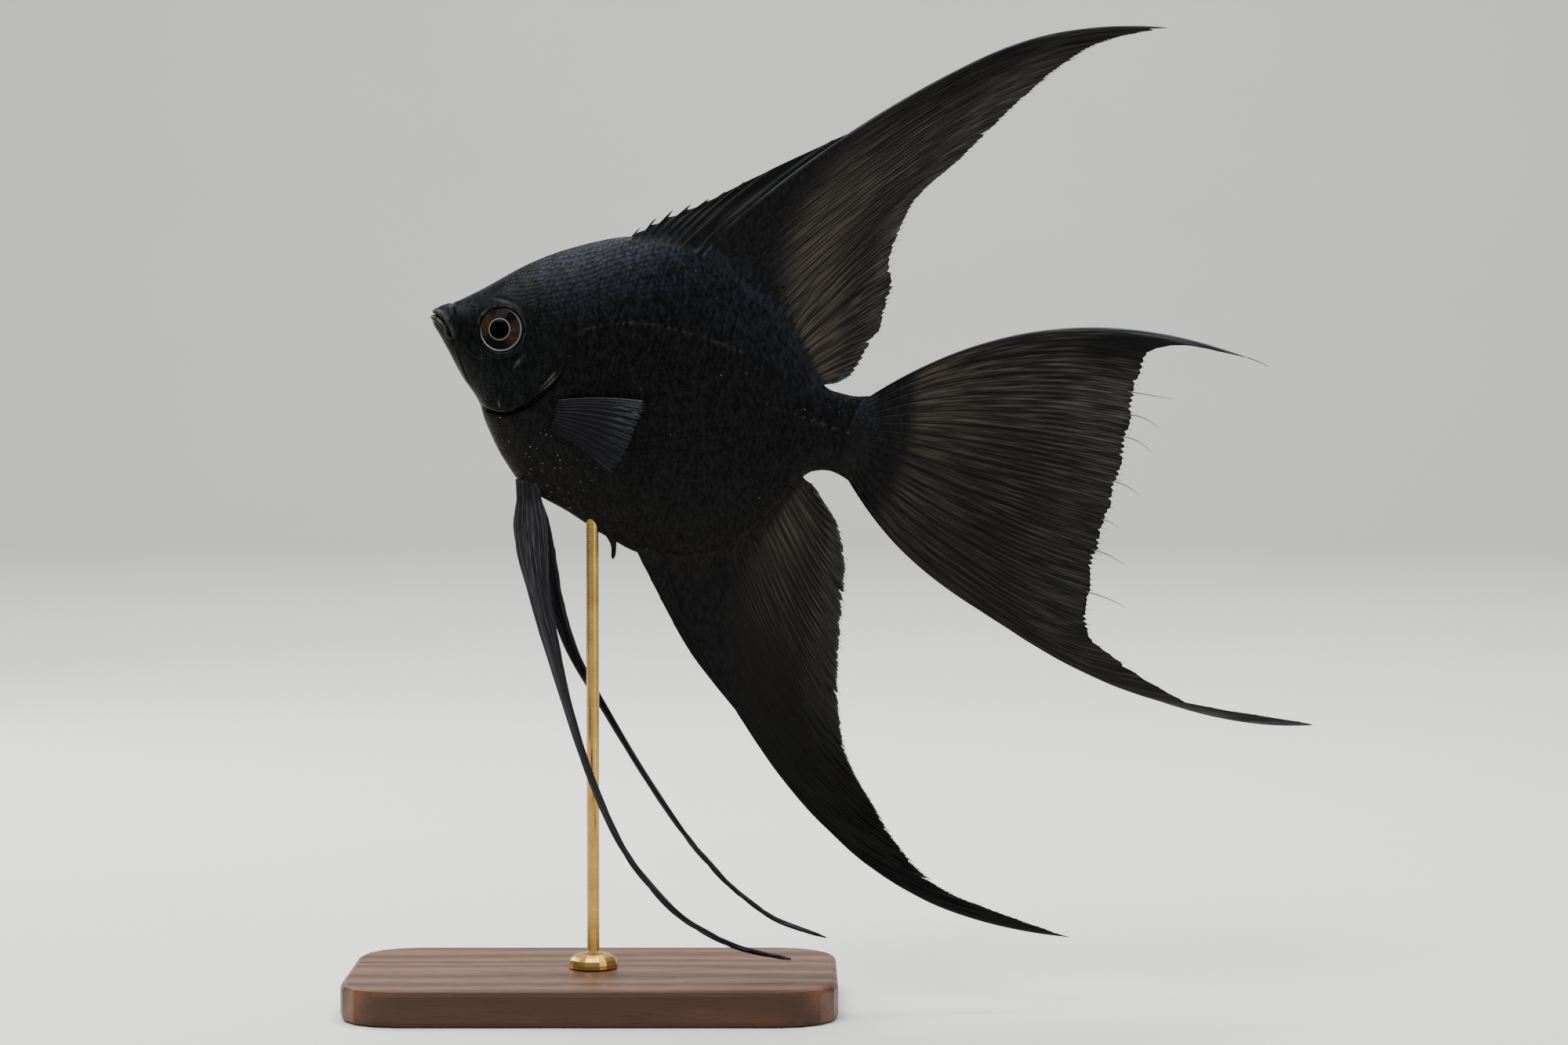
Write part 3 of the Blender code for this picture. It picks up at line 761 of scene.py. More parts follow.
@dataclass(frozen=True)
class Walnut(Finish):
    """Oiled walnut, planed and sanded: long brown grain with darker pores along the board."""

    light: str = "#6b4630"
    dark: str = "#3a2417"
    swirl_mm: float = 14.0
    band_mm: float = 30.0
    pore_mm: float = 0.35
    pore_dark: float = 0.6
    board: Point = (0.12, 1.0, 1.0)
    pores: Point = (0.05, 1.0, 1.0)
    sawn_at: Point = (0.013, 0.004, 0)

    def grain(self, tree: Tree, place: Socket) -> Socket:
        """The wood's growth rings and the swirls across them.

        Args:
            tree: The material's node tree.
            place: Where the pattern is read.

        Returns:
            The colour socket.
        """
        along = add(tree, "Mapping", {"Vector": place, "Scale": self.board, "Location": self.sawn_at})
        figure = {"Vector": along, "Scale": per_mm(self.swirl_mm), "Detail": 3.0, "Distortion": 0.6}
        swirl = add(tree, "TexNoise", figure)
        growth = {"Vector": along, "Scale": per_mm(self.band_mm), "Distortion": 7.0, "Detail": 3.0}
        bands = add(tree, "TexWave", growth | {"Detail Scale": 1.5}, "Fac", bands_direction="Y")
        both = add(tree, "Math", {0: swirl, 1: 0.7, 2: bands}, operation="MULTIPLY_ADD")
        shade = add(tree, "MapRange", {"Value": both, 1: 0.3, 2: 1.4})
        return add(tree, "Mix", {0: shade, 6: linear(self.light), 7: linear(self.dark)}, 2, data_type="RGBA")

    def dress(self, tree: Tree, shader: bpy.types.Node) -> None:
        """Adds grain, pores and the oil's uneven gloss.

        Args:
            tree: The material's node tree.
            shader: Its shader.
        """
        place = add(tree, "TexCoord", {}, "Object")
        thin = add(tree, "Mapping", {"Vector": place, "Scale": self.pores})
        pores = add(tree, "TexNoise", {"Vector": thin, "Scale": per_mm(self.pore_mm), "Detail": 2.0})
        deep = add(tree, "MapRange", {"Value": pores, 1: 0.56, 2: 0.66})
        pored = add(tree, "Math", {0: deep, 1: self.pore_dark}, operation="MULTIPLY")
        colours = {0: pored, 6: self.grain(tree, place), 7: linear(self.dark)}
        wood = add(tree, "Mix", colours, 2, data_type="RGBA")
        tree.links.new(wood, shader.inputs["Base Color"])
        low, high = self.roughness - 0.06, self.roughness + 0.12
        rough = add(tree, "MapRange", {"Value": pores, 1: 0.3, 2: 0.7, 3: low, 4: high})
        tree.links.new(rough, shader.inputs["Roughness"])
        dent = {"Height": deep, "Distance": 0.00005, "Strength": 0.6}
        tree.links.new(add(tree, "Bump", dent, invert=True), shader.inputs["Normal"])


@dataclass(frozen=True)
class Brass(Finish):
    """Satin brass drawn to a rod and turned to a collar: warm, with a few duller patches of tarnish."""

    ior: float = 1.5
    bright: str = "#c9a35a"
    dull: str = "#9b7a3f"
    tarnish_mm: float = 7.0
    mark_mm: float = 0.15
    turned: Point = (0.02, 0.02, 1.0)

    def dress(self, tree: Tree, shader: bpy.types.Node) -> None:
        """Adds tarnish and fine turning marks.

        Args:
            tree: The material's node tree.
            shader: Its shader.
        """
        place = add(tree, "TexCoord", {}, "Object")
        shader.inputs["Metallic"].default_value = 1.0
        tarnish = add(tree, "TexNoise", {"Vector": place, "Scale": per_mm(self.tarnish_mm), "Detail": 5.0})
        worn = add(tree, "MapRange", {"Value": tarnish, 1: 0.4, 2: 0.75})
        colours = {0: worn, 6: linear(self.bright), 7: linear(self.dull)}
        metal = add(tree, "Mix", colours, 2, data_type="RGBA")
        tree.links.new(metal, shader.inputs["Base Color"])
        around = add(tree, "Mapping", {"Vector": place, "Scale": self.turned})
        cut = add(tree, "TexNoise", {"Vector": around, "Scale": per_mm(self.mark_mm), "Detail": 2.0})
        low, high = self.roughness - 0.05, self.roughness + 0.1
        rough = add(tree, "MapRange", {"Value": cut, 1: 0.3, 2: 0.7, 3: low, 4: high})
        tree.links.new(rough, shader.inputs["Roughness"])


@dataclass(frozen=True)
class StudioPaper(Finish):
    """Matt backdrop paper, with the faint unevenness of its pulp."""

    tint: str = "#d6d6d2"
    clouds_a_metre: float = 9.0

    def dress(self, tree: Tree, shader: bpy.types.Node) -> None:
        """Adds the paper's tint and the clouds of its pulp.

        Args:
            tree: The material's node tree.
            shader: Its shader.
        """
        place = add(tree, "TexCoord", {}, "Object")
        pulp = add(tree, "TexNoise", {"Vector": place, "Scale": self.clouds_a_metre, "Detail": 2.0})
        shade = add(tree, "MapRange", {"Value": pulp, 3: 0.97, 4: 1.02})
        paper = add(tree, "VectorMath", {0: linear(self.tint)[:3], "Scale": shade}, operation="SCALE")
        tree.links.new(paper, shader.inputs["Base Color"])


@dataclass(frozen=True)
class Swell:
    """A rounded ridge, or a groove if it is below zero, that runs beside a line. Sizes in mm."""

    height: float
    off: float
    wide: float

    def at(self, away: Array) -> Array:
        """Its height at distances from the line, in mm."""
        return self.height * bump(away - self.off, self.wide)


@dataclass(frozen=True)
class Fold:
    """A step in the skin along a line: it climbs to the line on one side and drops off past it, in mm."""

    line: Line
    rise: float
    reach: float
    groove: float
    groove_wide: float
    fade: tuple[float, float]
    raised: int = 1

    def height(self, x: Array, z: Array) -> Array:
        """The skin's change of height in mm at places on the side.

        Args:
            x: Places along the fish.
            z: Places up its side.

        Returns:
            The heights.
        """
        signed, share = self.line.offset(x, z)
        signed = signed / MM * self.raised
        fading = ease(0, self.fade[0], share) * ease(0, self.fade[1], 1 - share)
        climb = np.where(signed > 0, self.rise * ease(self.reach, 0, signed), 0)
        dip = self.groove * bump(signed + self.groove_wide, self.groove_wide)
        return fading * (climb - dip)


@dataclass
class Body:
    """The flesh of the fish: head, trunk and root of the tail, under one skin."""

    back: Curve = Curve((
        (0, 0.4), (0.6, 1.5), (1.9, 2.7), (3.4, 3.5), (7.8, 7.2), (17.8, 17.0), (24.8, 22.3), (38.9, 29.6),
        (47.8, 31.6), (56.8, 30.2), (66.5, 26.5), (76.8, 20.6), (83.7, 14.4), (88.1, 10.2), (91.6, 8.7),
        (95.7, 8.8), (100, 9.9), (104.5, 12.6),
    ))
    belly: Curve = Curve((
        (0, -0.7), (0.9, -2.4), (2.5, -3.9), (6.1, -7.5), (10, -11.5), (15.6, -16.3), (18.1, -20.0),
        (25.5, -28.0), (30.5, -31.6), (41.5, -34.4), (52.2, -37.5), (60, -38.9), (68.5, -38.6), (76.2, -35.6),
        (81.6, -30.2), (85.5, -24.0), (88.5, -17.0), (92, -10.4), (96.5, -8.9), (100, -9.5), (104.5, -12.0),
    ))
    breadth: Curve = Curve((
        (0, 0), (0.12, 0.8), (0.5, 1.5), (1.6, 2.3), (4, 3.1), (8, 4.1), (12, 5.4), (16, 6.4), (22, 7.5),
        (30, 8.3), (40, 8.4), (52, 7.9), (65, 6.6), (78, 4.9), (88, 3.5), (96, 2.5), (100, 1.75), (103, 0.85),
        (104.5, 0.35),
    ))
    section_power: float = 2.3
    head_rounding: float = 0.60
    trunk_rounding: float = 0.74
    coat_depth: float = 0.10
    end: float = 104.5
    seam: tuple[float, float] = (97.4, 101.0)
    seam_taper: float = 0.40
    stations: int = 236
    levels: int = 200
    crowding: float = 0.6
    snout_share: float = 0.575
    snout_run: float = 0.04
    eye: tuple[float, float] = (16.3, 0.95)
    eye_radius: float = 4.95
    socket: tuple[float, float] = (0.15, 0.40)
    socket_deep: float = 2.1
    brow: Swell = Swell(0.20, 0.75, 0.55)
    nostril: tuple[float, float] = (8.6, 3.9)
    nostril_squash: float = 1.2
    nostril_pit: Swell = Swell(-0.22, 0.0, 0.30)
    nostril_rim: Swell = Swell(0.05, 0.6, 0.25)
    upper_lip: Swell = Swell(0.42, 0.75, 0.50)
    lower_lip: Swell = Swell(0.40, -0.62, 0.42)
    mouth_slit: Swell = Swell(-0.60, 0.0, 0.15)
    muscle: float = 0.10
    flank_scales: Scales = Scales(1.95, 1.55, 1.06, 1.28, 0.027, -0.038, -0.05, stretch=1.35)
    small_scales: Scales = Scales(1.45, 1.15, 0.78, 0.93, 0.015, -0.020, -0.04, stretch=1.35)
    fin_clear: tuple[float, float] = (1.30, 0.9)
    mouth: Line = Line((
        (-0.6, 0.0), (0.6, -0.15), (1.6, -0.35), (3.2, -1.2), (4.9, -2.9), (5.8, -4.2), (6.6, -4.9),
    ))
    gill: Line = Line((
        (28.6, 6.5), (31.2, 3.6), (32.3, 0.2), (31.5, -5.4), (28.6, -10.7), (25.8, -14.2), (21.2, -16.8),
        (15.7, -16.5),
    ))
    lateral: Line = Line((
        (30.6, 2.6), (35.4, 6.8), (40.6, 9.5), (48.5, 11.7), (57, 12.1), (64.8, 11.8), (71, 11.1),
    ))
    lateral_rear: Line = Line(((74, 2.2), (82, 1.4), (92, 0.8), (101, 0.6)))
    cheek: Line = Line((
        (22.9, -2.9), (21.7, -6.4), (20.7, -8.9), (19.5, -11.0), (19.5, -12.9), (21.3, -15.7),
    ))
    chin: Line = Line(((3.0, -2.2), (3.6, -2.7), (4.5, -3.5), (5.4, -4.3), (6.5, -4.3)))
    snout_crease: Line = Line(((3.0, 3.8), (3.8, 2.2), (4.6, 1.0), (5.5, -0.6), (6.4, -3.0), (6.9, -4.8)))
    throat: Line = Line(((6.9, -5.0), (8.4, -7.4), (10.6, -10.6), (13.6, -14.0)))
    under_eye: Line = Line(((8.6, -3.8), (9.8, -5.6), (11.8, -6.6), (14.2, -6.9)))
    over_eye: Line = Line(((9.5, 5.0), (12.5, 6.9), (16.0, 7.2), (19.6, 5.6)))
    folds: tuple[Fold, ...] = ()

    def __post_init__(self) -> None:
        """Draws the folds of the head."""
        self.folds = (
            Fold(self.gill, 0.62, 5.0, 0.70, 0.36, (0.62, 0.10), -1),
            Fold(self.cheek, 0.20, 2.5, 0.14, 0.34, (0.25, 0.25), -1),
            Fold(self.chin, 0.16, 0.8, 0.12, 0.20, (0.3, 0.3), 1),
            Fold(self.snout_crease, 0.12, 1.2, 0.26, 0.30, (0.10, 0.55), -1),
            Fold(self.throat, 0.12, 0.8, 0.12, 0.25, (0.3, 0.4), -1),
            Fold(self.under_eye, 0.10, 1.2, 0.10, 0.25, (0.3, 0.5), 1),
            Fold(self.over_eye, 0.16, 1.5, 0.10, 0.35, (0.4, 0.4), -1),
        )

    def half_width(self, x: Array, z: Array) -> Array:
        """Half the body's breadth, which is zero on its outline.

        Args:
            x: Places along the fish.
            z: Places up its side.

        Returns:
            The half breadths.
        """
        top, bottom = self.back.at(x), self.belly.at(x)
        level = np.clip(abs(2 * z - top - bottom) / (top - bottom), 0, 1)
        behind_head = np.clip((x - 15) / 30, 0, 1)
        rounding = self.head_rounding + (self.trunk_rounding - self.head_rounding) * behind_head
        return self.breadth.at(x) * (1 - level**self.section_power) ** rounding

    def back_paleness_and_sheen(self, x: Array) -> Array:
        """How pale the back is along the fish, partly a painted sheen of the light from above: the nape is,
        and the back behind it is not.
        """
        return 1 - 0.4 * ease(30, 62, x)

    def from_eye(self, x: Array, z: Array) -> Array:
        """How far places on the side are from the middle of the eye."""
        return np.hypot(x - self.eye[0], z - self.eye[1])

    def features(self, x: Array, z: Array) -> Array:
        """The head's and flank's own relief: gill cover, jaws, lips, brow, nostril, socket and muscle.

        Args:
            x: Places along the fish.
            z: Places up its side.

        Returns:
            The heights above the smooth flesh, in mm.
        """
        height = sum(fold.height(x, z) for fold in self.folds)
        signed, share = self.mouth.offset(x, z)
        signed = signed / MM
        lips = np.where(signed > 0, self.upper_lip.at(signed), self.lower_lip.at(signed))
        slit = ease(0, 0.02, 1 - share) * self.mouth_slit.at(signed)
        height = height + ease(0, 0.35, 1 - share) * lips + slit
        out = self.from_eye(x, z) - self.eye_radius
        # The skin closes round the eyeball and goes on below its rim, where it can't be seen.
        socket = ease(self.socket[0], -self.socket[1], out)
        height = height * (1 - socket) - self.socket_deep * socket + self.brow.at(out)
        nostril = np.hypot(x - self.nostril[0], (z - self.nostril[1]) * self.nostril_squash)
        height = height + self.nostril_pit.at(nostril) + self.nostril_rim.at(nostril)
        return height + self.muscle * ripple(x / 40, z / 30, 1.5, 0.7) * ease(20, 45, x)

    def edge_highlights_and_pores(self, x: Array, z: Array) -> Array:
        """Where light catches the edges of the skin's folds, the lips and the top of the eye socket, painted
        as pale highlights, and the pale dashes of the lateral line.

        Args:
            x: Places along the fish.
            z: Places up its side.

        Returns:
            How pale each place is, from 0 to 0.6.
        """
        signed, share = self.gill.offset(x, z)
        leaf = np.maximum(bump(signed / MM + 0.10, 0.11), bump(signed / MM + 0.85, 0.11))
        gill = 0.32 * leaf * bump(share - 0.47, 0.045)
        gill = gill + 0.16 * bump(signed / MM + 0.05, 0.14) * ease(0.74, 0.90, share)
        signed, share = self.cheek.offset(x, z)
        fold = 0.17 * bump(share - 0.12, 0.10) + 0.30 * bump(share - 0.95, 0.05)
        fold = fold * bump(signed / MM + 0.1, 0.13)
        signed, share = self.mouth.offset(x, z)
        lips = bump(signed / MM - 0.8, 0.4) + 1.4 * bump(signed / MM + 0.35, 0.2)
        lips = 0.20 * lips * ease(1.0, 0.1, share)
        signed, share = self.chin.offset(x, z)
        lips = lips + 0.12 * bump(signed / MM, 0.12) * ease(0, 0.2, share) * ease(1, 0.9, share)
        out = (self.from_eye(x, z) - self.eye_radius) / MM
        orbit = 0.10 * bump(out - 0.45, 0.14) * ease(-1, 3, z)
        pores = 0.0
        for line, count in ((self.lateral, 30), (self.lateral_rear, 18)):
            signed, share = line.offset(x, z)
            dashes = ease(-0.2, 0.6, np.sin(2 * np.pi * count * share)) * ease(0, 0.2, share)
            pores = pores + 0.06 * bump(signed / MM, 0.22) * dashes
        return np.clip(gill + fold + lips + orbit + pores, 0, 0.6)

    def markings(self, x: Array, z: Array, turn: Array) -> dict[str, Array]:
        """The fields that the skin's finish reads.

        Args:
            x: Places along the fish.
            z: Places up its side.
            turn: How high on its section each place is, from -1 at the belly to 1 at the back.

        Returns:
            The fields by name.
        """
        behind, _ = self.gill.offset(x, z)
        # Flecks are thick on the breast, thinner on the tail's root and scattered on the nape.
        breast = ease(-15, -20, z) * ease(47, 42, x) * ease(-0.5, 1.5, behind)
        nape = ease(0.55, 0.95, turn) * ease(20, 30, x) * ease(75, 40, x)
        root = ease(90, 96, x) * ease(0.2, 0.8, turn)
        flecks = 0.010 + 0.70 * breast + 0.05 * nape + 0.30 * root
        cheek = np.maximum(ease(1.0, -4.0, behind) * ease(30, 24, x), ease(14, 8, x))
        return {
            "level": turn * np.where(turn > 0, self.back_paleness_and_sheen(x), 1),
            "head": 0.65 * cheek * (1 - 0.55 * ease(13, 7, x)),
            "flecks": np.where(x < 16, 0.02, flecks),
            "rim": self.edge_highlights_and_pores(x, z),
        }

    def relief(self) -> Relief:
        """Shapes the right half of the skin.

        Returns:
            Its relief from the snout to the tail and from the back to the belly, with its fields.
        """
        a = np.linspace(0, 1, self.stations + 1)
        head = a**2 / (a + self.snout_run) * (1 + self.snout_run)
        x = self.end * (self.snout_share * head + (1 - self.snout_share) * a**5)[:, None]
        b = np.linspace(0, 1, self.levels + 1)[None]
        turn = self.crowding * np.cos(np.pi * b) + (1 - self.crowding) * (1 - 2 * b)
        top, bottom = self.back.at(x), self.belly.at(x)
        z = (top + bottom) / 2 + (top - bottom) / 2 * turn
        x, turn = np.broadcast_to(x, z.shape), np.broadcast_to(turn, z.shape)
        y = np.maximum(self.half_width(x, z) - self.coat_depth * MM, 0)
        y = y * (1 - self.seam_taper * ease(*self.seam, x))
        y[0], y[-1] = 0, 0
        y[:, 0], y[:, -1] = 0, 0
        smooth = Relief(np.stack([x, y, z], axis=-1))
        normals = smooth.normals.copy()
        seam = y == 0
        normals[seam] *= (1, 0, 1)
        normals /= np.maximum(np.linalg.norm(normals, axis=-1, keepdims=True), TINY)
        points = smooth.points + normals * (self.features(x, z) * MM)[..., None]
        points[..., 1] = np.maximum(points[..., 1], 0)
        points[seam, 1] = 0
        return Relief(points, self.markings(x, z, turn))

    def skin(self) -> tuple[Relief, bpy.types.Object]:
        """Builds the skin of both sides as one closed piece.

        Returns:
            The relief of its right half, and the piece.
        """
        half = self.relief()
        rows, columns = half.points.shape[:2]
        left = half.points[:, -2:0:-1] * (1, -1, 1)
        points = np.concatenate([half.points, left], axis=1)
        index = rings(rows, points.shape[1])
        twin = np.concatenate([np.arange(columns), np.arange(columns - 2, -1, -1)])
        index[0], index[-1] = index[0][twin], index[-1][twin]
        fields = {}
        for name, grid in half.fields.items():
            fields[name] = np.concatenate([grid, grid[:, -2:0:-1]], axis=1).reshape(-1)
        points, faces, fields = trimmed(points.reshape(-1, 3), quads(index), fields)
        piece = place_piece("skin", points, faces.tolist(), fields)
        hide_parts("head", "upper_jaw", "lower_jaw", "trunk", "tail_root")
        return half, piece

    def on_breast(self, x: Array, z: Array) -> Array:
        """Whether places on the side are on the breast."""
        return (z < -15 - 0.55 * (x - 24)) & (x < 42)

    def collar(self, z: Array) -> Array:
        """Where along the nape its small scales give way to the flank's."""
        return 21 + 1.0 * np.sin(1.3 * z) + 0.6 * np.sin(3.1 * z)

    def spots(self, relief: Relief, i: Array, j: Array) -> tuple[Array, Array, Array, Array]:
        """Places scale seeds on the fish.

        Args:
            relief: The skin of one side.
            i: The seeds' places down its grid.
            j: The seeds' places along it.

        Returns:
            x, z, how far behind the gill cover's edge they are, and whether the eye and the fins leave room.
        """
        x, _, z = np.moveaxis(relief.read(relief.points, i, j), -1, 0)
        behind, _ = self.gill.offset(x, z)
        finned = np.where(z > 0, (x > 38) & (x < 91), (x > 58) & (x < 92))
        least, ragged = self.fin_clear
        thinned = least + ragged * np.random.default_rng(SEED + 11).random(len(i)) ** 2
        thick = self.half_width(x, z) / MM > np.where(finned, thinned, 0.25)
        return x, z, behind, thick & (self.from_eye(x, z) > self.eye_radius + 2.2)

    def flank_wanted(self, relief: Relief, i: Array, j: Array) -> Array:
        """Says which seeds carry the flank's scales.

        Args:
            relief: The skin of one side.
            i: The seeds' places down its grid.
            j: The seeds' places along it.

        Returns:
            True for each that does.
        """
        x, z, behind, clear = self.spots(relief, i, j)
        nape = (z > 4 + 0.5 * (32 - x)) & (x > self.collar(z))
        return clear & ((behind > 0.7) | nape) & (x > 17) & ~self.on_breast(x, z) & (x < 94)

    def small_wanted(self, relief: Relief, i: Array, j: Array) -> Array:
        """Says which seeds carry small scales: on the nape, cheek, temple, breast and root of the tail.

        Args:
            relief: The skin of one side.
            i: The seeds' places down its grid.
            j: The seeds' places along it.

        Returns:
            True for each that does.
        """
        x, z, behind, clear = self.spots(relief, i, j)
        nape = (z > 7.5) & (x > 13) & (x <= self.collar(z) - 0.7)
        cheek = (behind < -1.2) & (x > 13.5) & (z < 4.5) & (z > -15.8) & (x < 31)
        temple = (x > 19) & (x < 31) & (z >= 4.5) & (behind < -1.0)
        breast = (behind > 0.8) & self.on_breast(x, z)
        tail_root = (x >= 94) & (x < 97 + np.sin(2.1 * z))
        return clear & (nape | cheek | temple | breast | tail_root)

    def coat(self, half: Relief) -> list[bpy.types.Object]:
        """Lays the scales of both flanks.

        Args:
            half: The relief of the skin's right half.

        Returns:
            The two coats.
        """
        kinds = ((self.flank_scales, self.flank_wanted), (self.small_scales, self.small_wanted))
        coats = []
        for side in Side:
            relief = half if side is Side.RIGHT else half.mirrored()
            rng = np.random.default_rng(SEED + side.value)
            patches = [kind.lay(relief, *kind.seeds(relief, wanted), rng) for kind, wanted in kinds]
            coats.append(ScalePatch.join(f"scales_{side.name.lower()}", patches))
        return coats


@dataclass
class FinSheet:
    """A thin web: its middle surface from root to margin, half its thickness in mm, and its fields."""

    middle: Array
    half: Array
    fields: dict[str, Array]

    @staticmethod
    def over(middle: Array, half: Array, fields: dict[str, Array | float]) -> "FinSheet":
        """Makes a web from values that may each stand for a row, a column or the whole of it.

        Args:
            middle: The middle surface, as (rows, columns, 3).
            half: Half the thickness, in mm.
            fields: The fields that its finish reads.

        Returns:
            The web, with each value spread over its grid.
        """
        shape = middle.shape[:2]
        grids = {key: np.broadcast_to(grid, shape).astype(float) for key, grid in fields.items()}
        return FinSheet(middle, np.broadcast_to(half, shape), grids)

    def faces_of(self, sign: int) -> Relief:
        """One face of the web, as a relief."""
        flat = Relief(self.middle)
        return Relief(self.middle + sign * flat.normals * (self.half * MM)[..., None], self.fields, sign < 0)

    def build(self, name: str, threads: Sequence["Thread"] = ()) -> bpy.types.Object:
        """Builds the web as one closed piece, with its loose threads.

        Args:
            name: The piece's name.
            threads: Ray tips that run on past the margin.

        Returns:
            The piece.
        """
        front, rear = self.faces_of(1).points, self.faces_of(-1).points
        rows, columns = self.half.shape
        index = np.arange(rows * columns).reshape(rows, columns)
        back_index = index + rows * columns
        back_index[[0, -1]] = index[[0, -1]]
        back_index[:, [0, -1]] = index[:, [0, -1]]
        front[[0, -1]], front[:, [0, -1]] = self.middle[[0, -1]], self.middle[:, [0, -1]]
        points = np.concatenate([front.reshape(-1, 3), rear.reshape(-1, 3)])
        faces = np.concatenate([quads(index), quads(back_index[:, ::-1])])
        fields = {key: np.concatenate([grid.reshape(-1)] * 2) for key, grid in self.fields.items()}
        points, faces, fields = trimmed(points, faces, fields)
        for thread in threads:
            tube, tube_faces = thread.tube()
            faces = np.concatenate([faces, tube_faces + len(points)])
            points = np.concatenate([points, tube])
            for key, values in fields.items():
                fields[key] = np.concatenate([values, np.full(len(tube), thread.fields.get(key, 0.0))])
        return place_piece(name, points, faces.tolist(), fields)


@dataclass
class Thread:
    """A ray's tip that runs on as a loose thread, or a spine. Both ends are drawn to a point.

    Radii are in mm. Swell is the share of its length over which it grows to its full radius.
    """

    path: Array
    radius: float = 0.15
    tip_radius: float = 0.05
    sides: int = 5
    swell: float = 0.01
    fields: dict[str, float] = field(default_factory=lambda: {"pale": 0.45, "ray": 1.0})
    point: float = 0.001

    def tube(self) -> tuple[Array, Array]:
        """Draws the thread as a tube.

        Returns:
            Its points as (n, 3), and its faces as quads of point numbers.
        """
        ahead = np.gradient(self.path, axis=0)
        ahead /= np.linalg.norm(ahead, axis=1, keepdims=True)
        out = np.cross(ahead, (0, 1, 0))
        out /= np.linalg.norm(out, axis=1, keepdims=True)
        over = np.cross(ahead, out)
        share = np.linspace(0, 1, len(self.path))
        full = np.sqrt(np.clip(share / self.swell, 0, 1))
        radii = (self.radius + (self.tip_radius - self.radius) * share) * full * MM
        radii[[0, -1]] = self.point
        turn = np.linspace(0, 2 * np.pi, self.sides, endpoint=False)
        ring = out[:, None] * np.cos(turn)[:, None] + over[:, None] * np.sin(turn)[:, None]
        points = self.path[:, None] + ring * radii[:, None, None]
        return points.reshape(-1, 3), quads(rings(len(points), self.sides)[:, ::-1])


